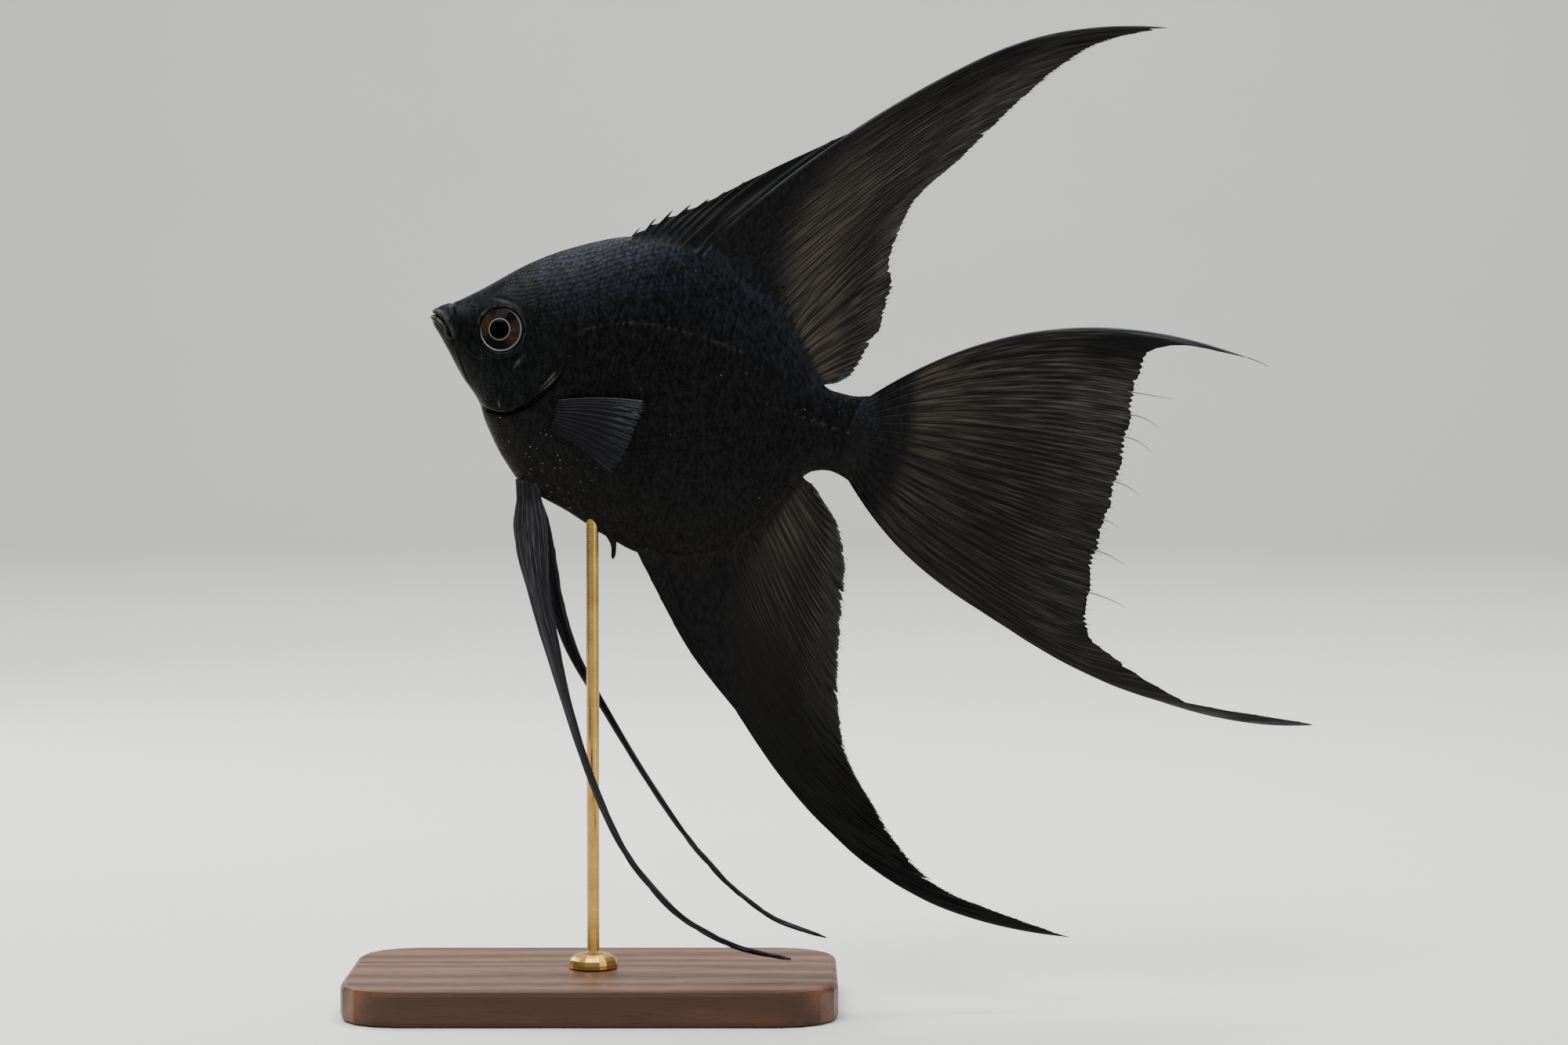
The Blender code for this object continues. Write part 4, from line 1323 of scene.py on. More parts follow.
@dataclass
class MedianFin:
    """A fin in the fish's middle plane, or the spiny front of one. Rays are (root, tip x, tip z, bow).

    Each ray splits in two at each of its shares of the way to the margin. The arch is the share at which
    rays bow most and its powers at the first and last ray, and the sway is the drift to one side, the height
    of the waves and how many there are. A thread is (share across, length, droop). Thicknesses, reaches and
    free tips are in mm.
    """

    name: str
    body: Body
    rays: tuple[Ray, ...]
    root_line: Curve | None
    root_side: int
    arch: tuple[float, float, float]
    count: int
    sway: tuple[float, float, float]
    sheath: Curve
    light: Curve
    splits: tuple[float, ...] = (0.22, 0.48, 0.70)
    fine: int = 16
    rows: int = 110
    depth: float = 2.8
    under: int = 8
    web_half: float = 0.11
    joined: float = 1.8
    dark_root: float = 1.5
    fanned: tuple[float, float] = (0.25, 0.72)
    thorns: float = 0.0
    ridge: tuple[float, float] = (0.20, 0.09)
    ridge_wide: float = 0.045
    groove: float = 0.17
    front_edge: float = 0.18
    rear_edge: float = 0.0
    free: tuple[float, float] = (0.15, 0.40)
    ragged: float = 0.7
    wander: float = 0.05
    flutter: float = 0.45
    finger: float = 0.05
    front_highlight: float = 0.55
    pale_rear: float = 0.0
    pale_rim: float = 0.0
    level: float = 0.1
    blend_mm: float = 5.0
    threads: tuple[tuple[float, float, float], ...] = ()
    root_gap: float = 0.15
    tail_root: tuple[float, float] = (100.4, 0.8)
    neighbour: "MedianFin | None" = None
    meets: float = 0.35
    tuck: float = 0.012
    patch: tuple[float, float] | None = None
    bristles: float = 1.3
    sunk: float = 0.06
    thinnest: float = 0.02

    def place(self, a: Array, b: Array) -> tuple[Array, Array, Array]:
        """Finds points of the fin's middle surface.

        Args:
            a: Share of the way from the first ray to the last.
            b: Share of the way along the ray; below zero it is a depth under the root, in hundreds of units.

        Returns:
            x, z and the ray's length there.
        """
        first, tip_x, tip_z, bow = np.array(self.rays, float).T
        where = (first - first[0]) / (first[-1] - first[0])
        start = first[0] + a * (first[-1] - first[0])
        if self.root_line is None:
            x0, z0 = self.tail_root[0] + self.tail_root[1] * (1 - (start / first[0]) ** 2), start
        else:
            slope = (self.root_line.at(start + 0.2) - self.root_line.at(start - 0.2)) / 0.4
            out = self.root_side * self.root_gap * MM / np.hypot(1, slope)
            x0, z0 = start - slope * out, self.root_line.at(start) + out
        dx = Curve(tuple(zip(where, tip_x))).at(a) - x0
        dz = Curve(tuple(zip(where, tip_z))).at(a) - z0
        bend = Curve(tuple(zip(where, bow))).at(a)
        peak, first_flat, last_flat = self.arch
        power = first_flat + (last_flat - first_flat) * a
        length = np.hypot(dx, dz)
        share = np.maximum(b, 0)
        arch = 1 - abs((share - peak) / np.where(share < peak, peak, 1 - peak)) ** power
        x, z = x0 + share * dx - bend * arch * dz, z0 + share * dz + bend * arch * dx
        slope0 = power / peak * bend
        run_x, run_z = dx - slope0 * dz, dz + slope0 * dx
        under = np.minimum(b, 0) * 100 / np.hypot(run_x, run_z)
        return x + under * run_x, z + under * run_z, length

    def surface(self, a: Array, share: Array) -> Array:
        """Points of the fin's middle surface with its sway.

        Args:
            a: Share of the way from the first ray to the last.
            share: Share of the way along the ray, as place() reads it.

        Returns:
            The points, with a last axis of x, y and z.
        """
        x, z, _ = self.place(a, share)
        drift, wave, turns = self.sway
        along = np.maximum(share, 0)
        y = drift * along**2 + wave * along * np.sin(2 * np.pi * turns * a)
        y = y + 0.2 * self.flutter * MM * along * np.cos(2 * np.pi * self.count * a)
        y = y + self.flutter * MM * along**2 * ripple(self.count * a / 4, 2 * along, 1.5, 2.2)
        return np.stack([x, y, z], axis=-1)

    def margin(self, a: Array, length: Array) -> Array:
        """How far along its ray each line of the web reaches, between notches and small tears.

        Args:
            a: Share of the way from the first ray to the last.
            length: The rays' lengths there.

        Returns:
            The share of the ray that the web covers.
        """
        cell = self.count * a
        behind = cell - np.floor(cell)
        if self.neighbour:
            cut = self.free[0] * np.where(behind > 0.03, 0.45 + 0.55 * behind**0.7, 0)
            cut = cut * (1 - 0.80 * ease(0.2, 0.75, a))
            return 1 - np.minimum(cut * MM / length, 0.68) * ease(1, 0.9, a)
        notch = 1 - abs(np.cos(np.pi * cell))
        tips = 1 - abs(np.sin(4 * np.pi * cell))
        rng = np.random.default_rng(SEED + self.count)
        knots = np.arange(0, 1.0001, 1 / (4 * self.count))
        draws = rng.random((3, len(knots)))
        worn, deep = np.interp(a, knots, draws[0]), np.interp(a, knots, draws[1])
        torn = 0.5 + 0.5 * ripple(cell / 4, a, 2.0, 0.9)
        tear = np.interp(a, knots, draws[2] > 0.93)
        cut = self.free[0] * notch**0.7 * (0.3 + 1.4 * worn) + self.free[1] * tips * 2 * deep
        cut = cut + self.ragged * (torn + 1.4 * tear)
        return 1 - np.minimum(cut * MM / length, 0.22) * ease(0, 0.5 / self.count, a)

    def black_to(self, far: Array) -> Array:
        """How far the black of the flesh runs on over the web.

        Args:
            far: Distances out of the flesh, in mm.

        Returns:
            How black the web is there, from 1 to 0.
        """
        if self.neighbour:
            return ease(5.0, 1.5, far)
        return 0.92 * ease(10.5, 7.2, far) if self.root_line is None else 0 * far

    def branches(self, a: Array, b: Array) -> Array:
        """Finds where the split rays run: one stem, then two, then four branches and so on.

        Args:
            a: Share of the way from the first ray to the last.
            b: Share of the way along the ray.

        Returns:
            1 on a branch, and 0 between two.
        """
        cell = self.count * a
        t = cell - np.round(cell)
        shifts = np.zeros((1,) * t.ndim)[None]
        for start, reach in zip(self.splits, (0.25, 0.125, 0.0625)):
            moved = reach * ease(start, start + 0.25, b)
            shifts = np.concatenate([shifts - moved, shifts + moved])
        return bump(t - shifts, self.ridge_wide).max(axis=0)

    def rooted(self, a: Array, points: Array, half: Array, far: Array) -> Array:
        """Flares the web's root into the flesh, so that the two meet without a step.

        Args:
            a: Share of the way from the first ray to the last.
            points: The web's middle surface.
            half: Half the web's thickness in mm.
            far: How far each point stands out of the flesh, in mm.

        Returns:
            Half the thickness in mm, flared, and hidden below the skin further in.
        """
        x = points[..., 0]
        skin = self.body.half_width(np.minimum(x, self.body.end), points[..., 2]) / MM - self.body.coat_depth
        if self.root_line is None:
            skin = skin * ease(self.body.end + 2.5, self.body.end - 1.5, x)
            bare = ease(*self.body.seam, x)
            shown = half + np.maximum(skin - self.web_half - self.sunk, 0)
            return bare * shown + (1 - bare) * np.clip(skin - self.sunk, self.thinnest, None)
        further = 0.4
        deeper = []
        for depth in (self.joined, self.joined + further):
            spot = self.surface(a, np.full_like(a, -depth * MM / 100))
            deeper.append(self.body.half_width(spot[..., 0], spot[..., 2]) / MM - self.body.coat_depth)
        tall = np.maximum(deeper[0] - self.web_half, 0.05)
        run = np.clip(tall * further / np.maximum(deeper[1] - deeper[0], self.thinnest), 0.6, 3.0)
        tall = tall * (ease(1.0, 0.88, a) if self.neighbour else ease(0.1, 1.1, self.count * a))
        past = far + self.joined
        flared = half + tall * np.exp(-np.maximum(past, 0) / run)
        hidden = skin - self.sunk * ease(0, 0.4, -past)
        return np.where(past > 0, flared, np.clip(hidden, self.thinnest, None))

    def sheet(self) -> FinSheet:
        """The fin's web with its rays.

        Returns:
            Its middle surface, half thickness and fields.
        """
        columns = self.count * self.fine
        a = np.linspace(0, 1, columns + 1)[None]
        under = -np.linspace(self.depth, 0, self.under)[:-1] / 100
        rows = np.concatenate([under, np.linspace(0, 1, self.rows) ** 1.1])[:, None]
        wander = self.wander / self.count * 4 * a * (1 - a) * np.maximum(rows, 0)
        shifted = np.clip(a + wander * ripple(self.count * a / 5, 3 * rows, 1.6, 0.4), 0, 1)
        length = self.place(a, 0 * a)[2]
        share = np.where(rows > 0, rows * self.margin(a, length), rows)
        along = np.maximum(share, 0)
        points = self.surface(shifted, share)
        if self.neighbour:
            tuck = np.broadcast_to(self.tuck + 0.035 * ease(0.08, 0.0, share), points.shape[:2])
            shared = self.neighbour.surface(tuck, share * self.meets)
            points = points + ease(0.80, 1.0, a)[..., None] * (shared - points)
        far = np.where(share > 0, share * length, share * 100) / MM
        cell = self.count * a
        t = abs(cell - np.round(cell))
        fine, split = self.branches(a, along), ease(*self.fanned, along)
        band = ease(0.5, 0.5 - self.groove, t)
        relief = (1 - split) * band + split * fine
        limit = self.sheath.at(a) + self.finger * (0.5 - band) + 0.03 * ripple(7 * a, 2 * rows, 4.0)
        cover = ease(limit + 0.05 + 0.13 * (1 - a) * (self.root_line is not None), limit - 0.06, share)
        ridges = (self.ridge[0] + (self.ridge[1] - self.ridge[0]) * along) * relief * (1 - 0.7 * cover)
        start = -2.5 if self.root_line is None else -0.5
        half = self.web_half + ridges * ease(start, start + 3, far)
        front, rear = bump(cell, 0.30), bump(self.count - cell, 0.30)
        half = half + (self.front_edge * front + self.rear_edge * rear) * (1 - 0.7 * along) * ease(-1, 2, far)
        half = half * (0.35 + 0.65 * ease(0, 1.2, (1 - rows) * length / MM))
        edge = cell if self.neighbour else np.minimum(cell, self.count - cell)
        half = half * np.sqrt(np.clip(edge / 0.10, 0.05, 1))
        half = self.rooted(a, points, half, far)
        brightness = self.light.at(a) * (1 - 0.25 * along) * (0.12 + 0.88 * ease(-0.5, self.dark_root, far))
        if self.patch:
            beyond, before = self.patch
            dark = 0.9 * ease(beyond - 0.1, beyond, share) * ease(before + 0.1, before, a)
            brightness = brightness * (1 - dark)
        weak = 0.5 + 0.5 * ripple(np.floor(cell + 0.5) / 7, 0 * a, 6.0, 2.9)
        line = 1 - (1 - 0.6 * ease(0.45, 0.95, along)) * (1 - 0.30 * weak) * (1 - band)
        near = 1 - ease(0, self.blend_mm, far)
        if self.root_line is not None:
            ground = self.body.back_paleness_and_sheen(points[..., 0]) if self.root_side > 0 else -1
            ground = 0.5 * ground if self.neighbour else ground
        else:
            ground = np.clip(points[..., 2] / 9, -1, 0.6)
        fingers = 1.8 * (0.5 - band) + 0.9 * ripple(7 * a, 0 * far, 3.0)
        # The pale line along the leading ray is a painted highlight of the light along the fin's edge.
        pale = (self.front_highlight * front + self.pale_rear * rear) * ease(0.02, 0.2, along) * (1 - 0.4 * along)
        # A thin painted highlight along each spine.
        if self.thorns:
            pale = pale + 0.11 * bump(t, 0.10)
        else:
            pale = pale + 0.14 * brightness * fine * ease(self.fanned[0], self.fanned[1] + 0.2, along)
        pale = pale + self.pale_rim * ease(1.1, 0.2, (1 - rows) * length / MM) * ease(0.3, 0.6, a)
        return FinSheet.over(points, half, {
            "ray": brightness * line * (1 - 0.85 * split * (1 - fine)),
            "sheath": np.maximum(cover, self.black_to(far + fingers)),
            "pale": pale,
            "level": self.level + near * (ground - self.level),
            "across": cell,
            "along": far,
            "tone": 0.3 + 0.25 * near,
            "flecks": 0.04 * near,
        })

    def tips(self, sheet: FinSheet) -> list[Thread]:
        """Loose threads past the margin.

        Args:
            sheet: The fin's web, whose margin they leave.

        Returns:
            The fin's long threads, the spines' points and the bristles of its margin.
        """
        made = []
        for a, length, droop in self.threads:
            column = round(a * self.count * self.fine)
            end, before = sheet.middle[-1, column], sheet.middle[-8, column]
            ahead = (end - before) / np.linalg.norm(end - before)
            side = np.array([-ahead[2], 0, ahead[0]])
            s = np.linspace(-0.12, 1, 16)[:, None]
            made.append(Thread(end + ahead * length * s + side * droop * length * (s**2 - 0.3 * s)))
        for k in range(self.count if self.thorns else 0):
            end = sheet.middle[-1, k * self.fine]
            up = np.array([0.38, 0.0, 0.92])
            s = np.linspace(-1.1, 0.12, 12)[:, None]
            length = self.thorns * (1.1 - 0.7 * k / self.count) * MM
            path = end + up * s * length + np.array([0.10, 0.0, -0.04]) * (s + 0.5) ** 2 * length
            made.append(Thread(path, 0.46, 0.04, 8, 0.75, {"pale": 0.05, "ray": 0.15}))
        if self.neighbour is not None or self.bristles == 0:
            return made
        rng = np.random.default_rng(SEED + 3)
        for k in range(4 * self.count):
            column = round((k + 0.5) / 4 * self.fine)
            if column < 1.5 * self.fine:
                continue
            end, before = sheet.middle[-1, column], sheet.middle[-6, column]
            ahead = (end - before) / np.linalg.norm(end - before)
            length = self.bristles * MM * (0.3 + 0.7 * rng.random() ** 2)
            side = np.array([-ahead[2], 0, ahead[0]]) * rng.uniform(-0.25, 0.25)
            s = np.linspace(-0.4, 1, 6)[:, None]
            made.append(Thread(end + (ahead + side * s**2) * length * s, 0.075, 0.03, 4))
        return made

    def build(self) -> tuple[FinSheet, bpy.types.Object]:
        """Builds the fin and hides the solid that it stands for.

        Returns:
            The fin's web, and its piece.
        """
        sheet = self.sheet()
        piece = sheet.build(self.name + "_web", self.tips(sheet))
        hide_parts(self.name)
        return sheet, piece

    def coat(self, sheet: FinSheet) -> bpy.types.Object:
        """Lays the small scales that climb on to the fin's root, on both faces.

        Args:
            sheet: The fin's web.

        Returns:
            The coat.
        """
        small = Scales(1.25, 0.98, 0.74, 0.86, 0.014, -0.03, -0.04)
        rng = np.random.default_rng(SEED + 7)

        def wanted(relief: Relief, i: Array, j: Array) -> Array:
            """Says which seeds lie on the scaly root."""
            close = relief.read(relief.fields["along"], i, j) < 7.0 * rng.random(len(i)) ** 0.7
            return (relief.read(relief.fields["sheath"], i, j) > 0.85) & (i > 2) & close

        patches = []
        for sign in (1, -1):
            relief = sheet.faces_of(sign)
            patches.append(small.lay(relief, *small.seeds(relief, wanted), rng))
        return ScalePatch.join(self.name + "_scales", patches)


def median_fins(body: Body) -> list[MedianFin]:
    """The dorsal, anal and tail fins of this fish, with the spiny fronts of the first two.

    Args:
        body: The flesh that they grow from.

    Returns:
        The five webs.
    """
    dorsal = (
        (54.2, 141.7, 109.1, 0.102), (60, 128.5, 102.0, 0.070), (63.5, 121.5, 94.8, 0.052),
        (67.6, 115.8, 86.4, 0.045), (73.2, 105.6, 68.5, 0.040), (77.7, 97.3, 53.8, 0.035),
        (80.5, 96.0, 43.0, 0.030), (82.7, 98.4, 34.2, 0.025), (85.2, 98.4, 26.5, 0.020),
        (87.2, 96.8, 19.5, 0.020), (88.6, 95.2, 13.6, 0.020), (89.6, 92.8, 11.0, 0.010),
    )
    anal = (
        (65.8, 178.4, -95.0, -0.156), (68.5, 150.0, -93.2, -0.130), (71.5, 137.5, -87.6, -0.090),
        (76.0, 127.5, -79.1, -0.060), (81.0, 117.9, -69.1, -0.045), (84.0, 112.2, -56.0, -0.035),
        (86.5, 108.7, -42.0, -0.030), (89.0, 106.2, -29.5, -0.030), (90.0, 102.0, -20.6, -0.030),
        (90.8, 95.0, -14.3, -0.020),
    )
    tail = (
        (10.2, 179.4, 42.1, 0.127), (9.6, 166.0, 40.9, 0.110), (8.8, 158.4, 37.2, 0.095),
        (7.4, 157.4, 30.5, 0.075), (5.2, 158.3, 20.8, 0.045), (2.8, 159.1, 10.0, 0.020),
        (0.4, 159.3, -0.5, -0.005),
        (-2.0, 159.6, -10.5, -0.030), (-4.2, 160.7, -19.4, -0.055), (-6.2, 162.2, -26.6, -0.075),
        (-7.6, 171.5, -31.4, -0.090), (-8.6, 190.0, -35.6, -0.098), (-9.5, 219.3, -32.3, -0.108),
    )
    dorsal_spines = (
        (38.8, 39.4, 31.6, 0.02), (41.5, 44.2, 36.6, 0.02), (45.5, 52.5, 42.3, 0.02),
        (49.5, 61.0, 49.9, 0.02), (53.8, 80.3, 67.4, 0.022),
    )
    anal_spines = (
        (59.6, 61.5, -41.2, 0.01), (61.6, 68.0, -48.2, 0.01), (63.4, 77.2, -57.2, 0.01),
        (65.4, 91.9, -67.9, -0.030),
    )
    spiny = {"splits": (), "rows": 60, "ridge": (0.34, 0.20), "groove": 0.34, "wander": 0.0, "flutter": 0.0,
             "ragged": 0.15, "front_edge": 0.12, "front_highlight": 0.2, "light": Curve(((0, 0.16), (1, 0.14)))}
    dorsal_fin = MedianFin(
        "dorsal_fin", body, dorsal, body.back, 1, (0.65, 2, 2), 24, (5, 1.2, 1.5),
        Curve(((0, 0.34), (0.1, 0.28), (0.25, 0.19), (0.45, 0.11), (0.7, 0.05), (1, 0.03))),
        Curve(((0, 0.35), (0.1, 0.5), (0.3, 0.85), (0.5, 1), (1, 1))),
        front_highlight=0.55, threads=((0.167, 4.5, 0.15), (0.25, 3.0, 0.1), (0.333, 2.2, 0.1)),
    )
    anal_fin = MedianFin(
        "anal_fin", body, anal, body.belly, -1, (0.60, 2, 2), 44, (-4, 1.2, 1.5),
        Curve(((0, 0.42), (0.12, 0.36), (0.3, 0.22), (0.6, 0.09), (0.85, 0.05), (1, 0.05))),
        Curve(((0, 0.06), (0.2, 0.10), (0.5, 0.22), (0.75, 0.50), (0.9, 0.66), (1, 0.6))),
        fine=10, rows=96, splits=(0.3, 0.6), ridge_wide=0.08, ridge=(0.14, 0.07), wander=0.02, pale_rim=0.14,
        level=-0.3, front_highlight=0.15, threads=((0.08, 3.5, -0.1), (0.16, 2.0, 0.0)),
    )
    return [
        dorsal_fin,
        MedianFin(
            "dorsal_spines", body, dorsal_spines, body.back, 1, (0.5, 2, 2), 9, (0, 0.2, 1),
            Curve(((0, 0.0), (0.4, 0.1), (1, 0.3))), neighbour=dorsal_fin, meets=0.374, free=(3.6, 0.0),
            thorns=3.0, **spiny,
        ),
        anal_fin,
        MedianFin(
            "anal_spines", body, anal_spines, body.belly, -1, (0.5, 2, 2), 6, (0, 0.2, 1),
            Curve(((0, 0.4), (1, 0.5))), level=-0.2, neighbour=anal_fin, meets=0.294, free=(0.8, 0.0),
            **spiny,
        ),
        MedianFin(
            "tail_fin", body, tail, None, 1, (0.50, 2, 3), 17, (-6, 1.8, 2),
            Curve(((0, 0.06), (0.5, 0.10), (1, 0.06))),
            Curve(((0, 0.42), (0.12, 0.76), (0.35, 0.60), (0.6, 0.47), (0.85, 0.40), (1, 0.26))),
            rows=118, depth=4.0, splits=(0.18, 0.45, 0.66), ridge=(0.26, 0.10), ragged=1.0, dark_root=12.0,
            rear_edge=0.18, finger=0.09, pale_rear=0.30, patch=(0.80, 0.06), flutter=0.15, wander=0.02,
            level=0.05, front_highlight=0.35,
            threads=((0.176, 10.0, 0.0), (0.235, 7.0, -0.40), (0.294, 7.5, -0.45), (0.412, 6.8, -0.40),
                     (0.515, 4.2, -0.30), (0.603, 7.8, -0.25), (0.720, 9.5, -0.15), (0.0, 5.0, -0.1)),
        ),
    ]


@dataclass
class PairedFin:
    """One of a pair of fins. Each kind draws its own web."""

    side: Side

    KIND: ClassVar[str] = ""

    def sheet(self) -> FinSheet:
        """The fin's web with its rays."""
        raise NotImplementedError

    def build(self) -> bpy.types.Object:
        """Builds the fin and hides its solid.

        Returns:
            The fin's piece.
        """
        label = self.side.name.lower()
        piece = self.sheet().build(f"{self.KIND}_{label}_web")
        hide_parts(f"{self.KIND}_fin_{label}")
        return piece


@dataclass
class PelvicFin(PairedFin):
    """A long pelvic fin: a folded blade that narrows to a streamer. Widths are in the fish's own units."""

    KIND = "pelvic"

    line: tuple[tuple[float, float], ...]
    widths: Curve = Curve((
        (0.0, 5.6), (0.03, 6.8), (0.07, 7.8), (0.13, 7.5), (0.18, 6.4), (0.23, 5.1), (0.32, 3.9), (0.40, 2.5),
        (0.49, 1.8), (0.62, 1.4), (0.80, 1.1), (0.94, 0.7), (1.0, 0.3),
    ))
    slim: float = 1.0
    root_out: float = 1.5
    tip_out: float = 8.0
    rays: int = 7
    fine: int = 8
    rows: int = 190
    lead: float = 0.035

    def sheet(self) -> FinSheet:
        """The fin's web, with rays that close up along the streamer.

        Returns:
            Its middle surface, half thickness and fields.
        """
        keys = np.linspace(0, 1, len(self.line))
        xs, zs = zip(*self.line)
        run_x, run_z = Curve(tuple(zip(keys, xs))), Curve(tuple(zip(keys, zs)))
        s = np.linspace(-self.lead, 1, self.rows)[:, None]
        t = np.linspace(-0.5, 0.5, self.rays * self.fine + 1)[None]
        on = np.clip(s, 0, 1)
        ahead_x = run_x.at(on + 0.012) - run_x.at(on - 0.012)
        ahead_z = run_z.at(on + 0.012) - run_z.at(on - 0.012)
        size = np.hypot(ahead_x, ahead_z)
        ahead_x, ahead_z = ahead_x / size, ahead_z / size
        back = np.minimum(s, 0) * 130
        width = self.slim * self.widths.at(on) * (1 + 0.02 * ripple(s * 3, 0 * s, 4.0, self.side.value))
        worn = 0.05 * ease(0.2, 0.5, t) * (1 + ripple(9 * s, 0 * s, 2.0))
        torn = 1 - worn * ease(0.02, 0.1, s) * ease(0.5, 0.3, s)
        reach = t * width * torn
        x = run_x.at(on) + ahead_x * back - ahead_z * reach
        z = run_z.at(on) + ahead_z * back + ahead_x * reach
        y = self.side.value * (self.root_out + (self.tip_out - self.root_out) * on**0.8)
        fold = 0.9 * MM * np.cos(2 * np.pi * t) * ease(0, 0.12, on) * ease(0.7, 0.3, on)
        y = y + self.side.value * (fold + 0.5 * MM * ripple(3 * s, t, 1.2, 0.8) * on)
        cell = (t + 0.5) * self.rays
        drawn = cell + 0.3 * ripple(cell / 3, 3 * s, 2.0, 1.1) * np.sin(np.pi * (t + 0.5))
        between = 0.55 * bump(drawn - np.floor(drawn) - 0.5, 0.11)
        ridge = np.maximum(bump(drawn - np.round(drawn), 0.14), between)
        tight = ease(0.35, 0.75, on)
        half = 0.15 + 0.10 * ridge * (1 - 0.5 * tight) + 0.10 * tight + 0.35 * ease(0.05, 0, on)
        half = half * np.sqrt(np.clip(np.minimum(cell, self.rays - cell) / 0.25, 0.05, 1))
        half = half * (0.4 + 0.6 * ease(1, 0.97, s))
        edges = np.clip(0.30 * bump(cell, 0.35) + 0.20 * bump(self.rays - cell, 0.3), 0, 1)
        return FinSheet.over(np.stack(np.broadcast_arrays(x, y, z), axis=-1), half, {
            "ray": np.clip(0.12 + 0.95 * ridge + 0.25 * tight, 0, 1) * (1 - 0.25 * tight),
            "sheath": ease(0.03, 0.0, on),
            "pale": edges * (1 - 0.35 * tight) + 0.22 * ridge * (1 - 0.6 * tight),
            "level": -0.5,
            "across": 1.2 * drawn,
            "along": s * 110 / MM,
        })


@dataclass
class PectoralFin(PairedFin):
    """A fan-shaped pectoral fin, of dusky web between fine rays. Rays are (root z, tip x, tip z)."""

    KIND = "pectoral"

    body: Body
    rays: tuple[Point, ...] = (
        (-10.2, 52.0, -5.2), (-11.8, 52.4, -7.6), (-13.7, 51.9, -12.4), (-15.7, 51.5, -17.8),
        (-17.6, 49.6, -23.0),
    )
    root_x: float = 33.9
    count: int = 12
    fine: int = 14
    rows: int = 50
    turn: float = 0.30
    stand_off: float = 0.95

    def sheet(self) -> FinSheet:
        """The fin's web, with rays that each split once.

        Returns:
            Its middle surface, half thickness and fields.
        """
        root_z, tip_x, tip_z = np.array(self.rays).T
        keys = np.linspace(0, 1, len(root_z))
        a = np.linspace(0, 1, self.count * self.fine + 1)[None]
        b = np.linspace(-0.12, 1, self.rows)[:, None]
        z0 = Curve(tuple(zip(keys, root_z))).at(a)
        dx = Curve(tuple(zip(keys, tip_x))).at(a) - self.root_x
        dz = Curve(tuple(zip(keys, tip_z))).at(a) - z0
        cell = self.count * a
        notch = 0.030 * (1 - abs(np.cos(np.pi * cell))) + 0.012 * (1 + ripple(4 * a, a, 3.0))
        share = np.where(b > 0, b * (1 - notch), b)
        arch = 0.03 * (1 - (2 * share - 1) ** 2)
        x, z = self.root_x + share * dx - arch * dz, z0 + share * dz + arch * dx
        base = self.body.half_width(np.array(self.root_x), z0)
        away = base + self.stand_off + np.maximum(share, 0) * dx * self.turn + 30 * np.minimum(share, 0) * 0.9
        along = np.maximum(share, 0)
        cup = 0.5 * MM * along * np.sin(np.pi * a) + 0.25 * MM * along**2 * ripple(3 * a, 2 * b, 2.0)
        y = self.side.value * (away + cup)
        t = cell - np.round(cell)
        split = 0.22 * ease(0.45, 1.0, along)
        ray = np.maximum(bump(t - split, 0.075), bump(t + split, 0.075))
        half = 0.06 + 0.06 * ray * (1 - 0.5 * along) + 0.40 * ease(0.16, -0.05, share)
        half = half + 0.10 * bump(cell, 0.25)
        half = half * np.sqrt(np.clip(np.minimum(cell, self.count - cell) / 0.2, 0.05, 1))
        half = half * (0.35 + 0.65 * ease(1, 0.95, b))
        upper = ease(0.85, 0.25, a)
        ends = 0.18 * ease(0.3, 0.1, along) + 0.30 * ease(0.5, 0.9, along)
        return FinSheet.over(np.stack(np.broadcast_arrays(x, y, z), axis=-1), half, {
            "ray": np.clip(ray * (0.5 + 0.5 * upper) + 0.2 * along, 0, 1),
            "sheath": ease(0.10, 0.0, share),
            "pale": 0.55 * bump(cell, 0.22) + ray * upper * ends,
            "level": -0.3,
            "flecks": 0.25,
            "across": 2 * cell,
            "along": along * dx / MM,
        })


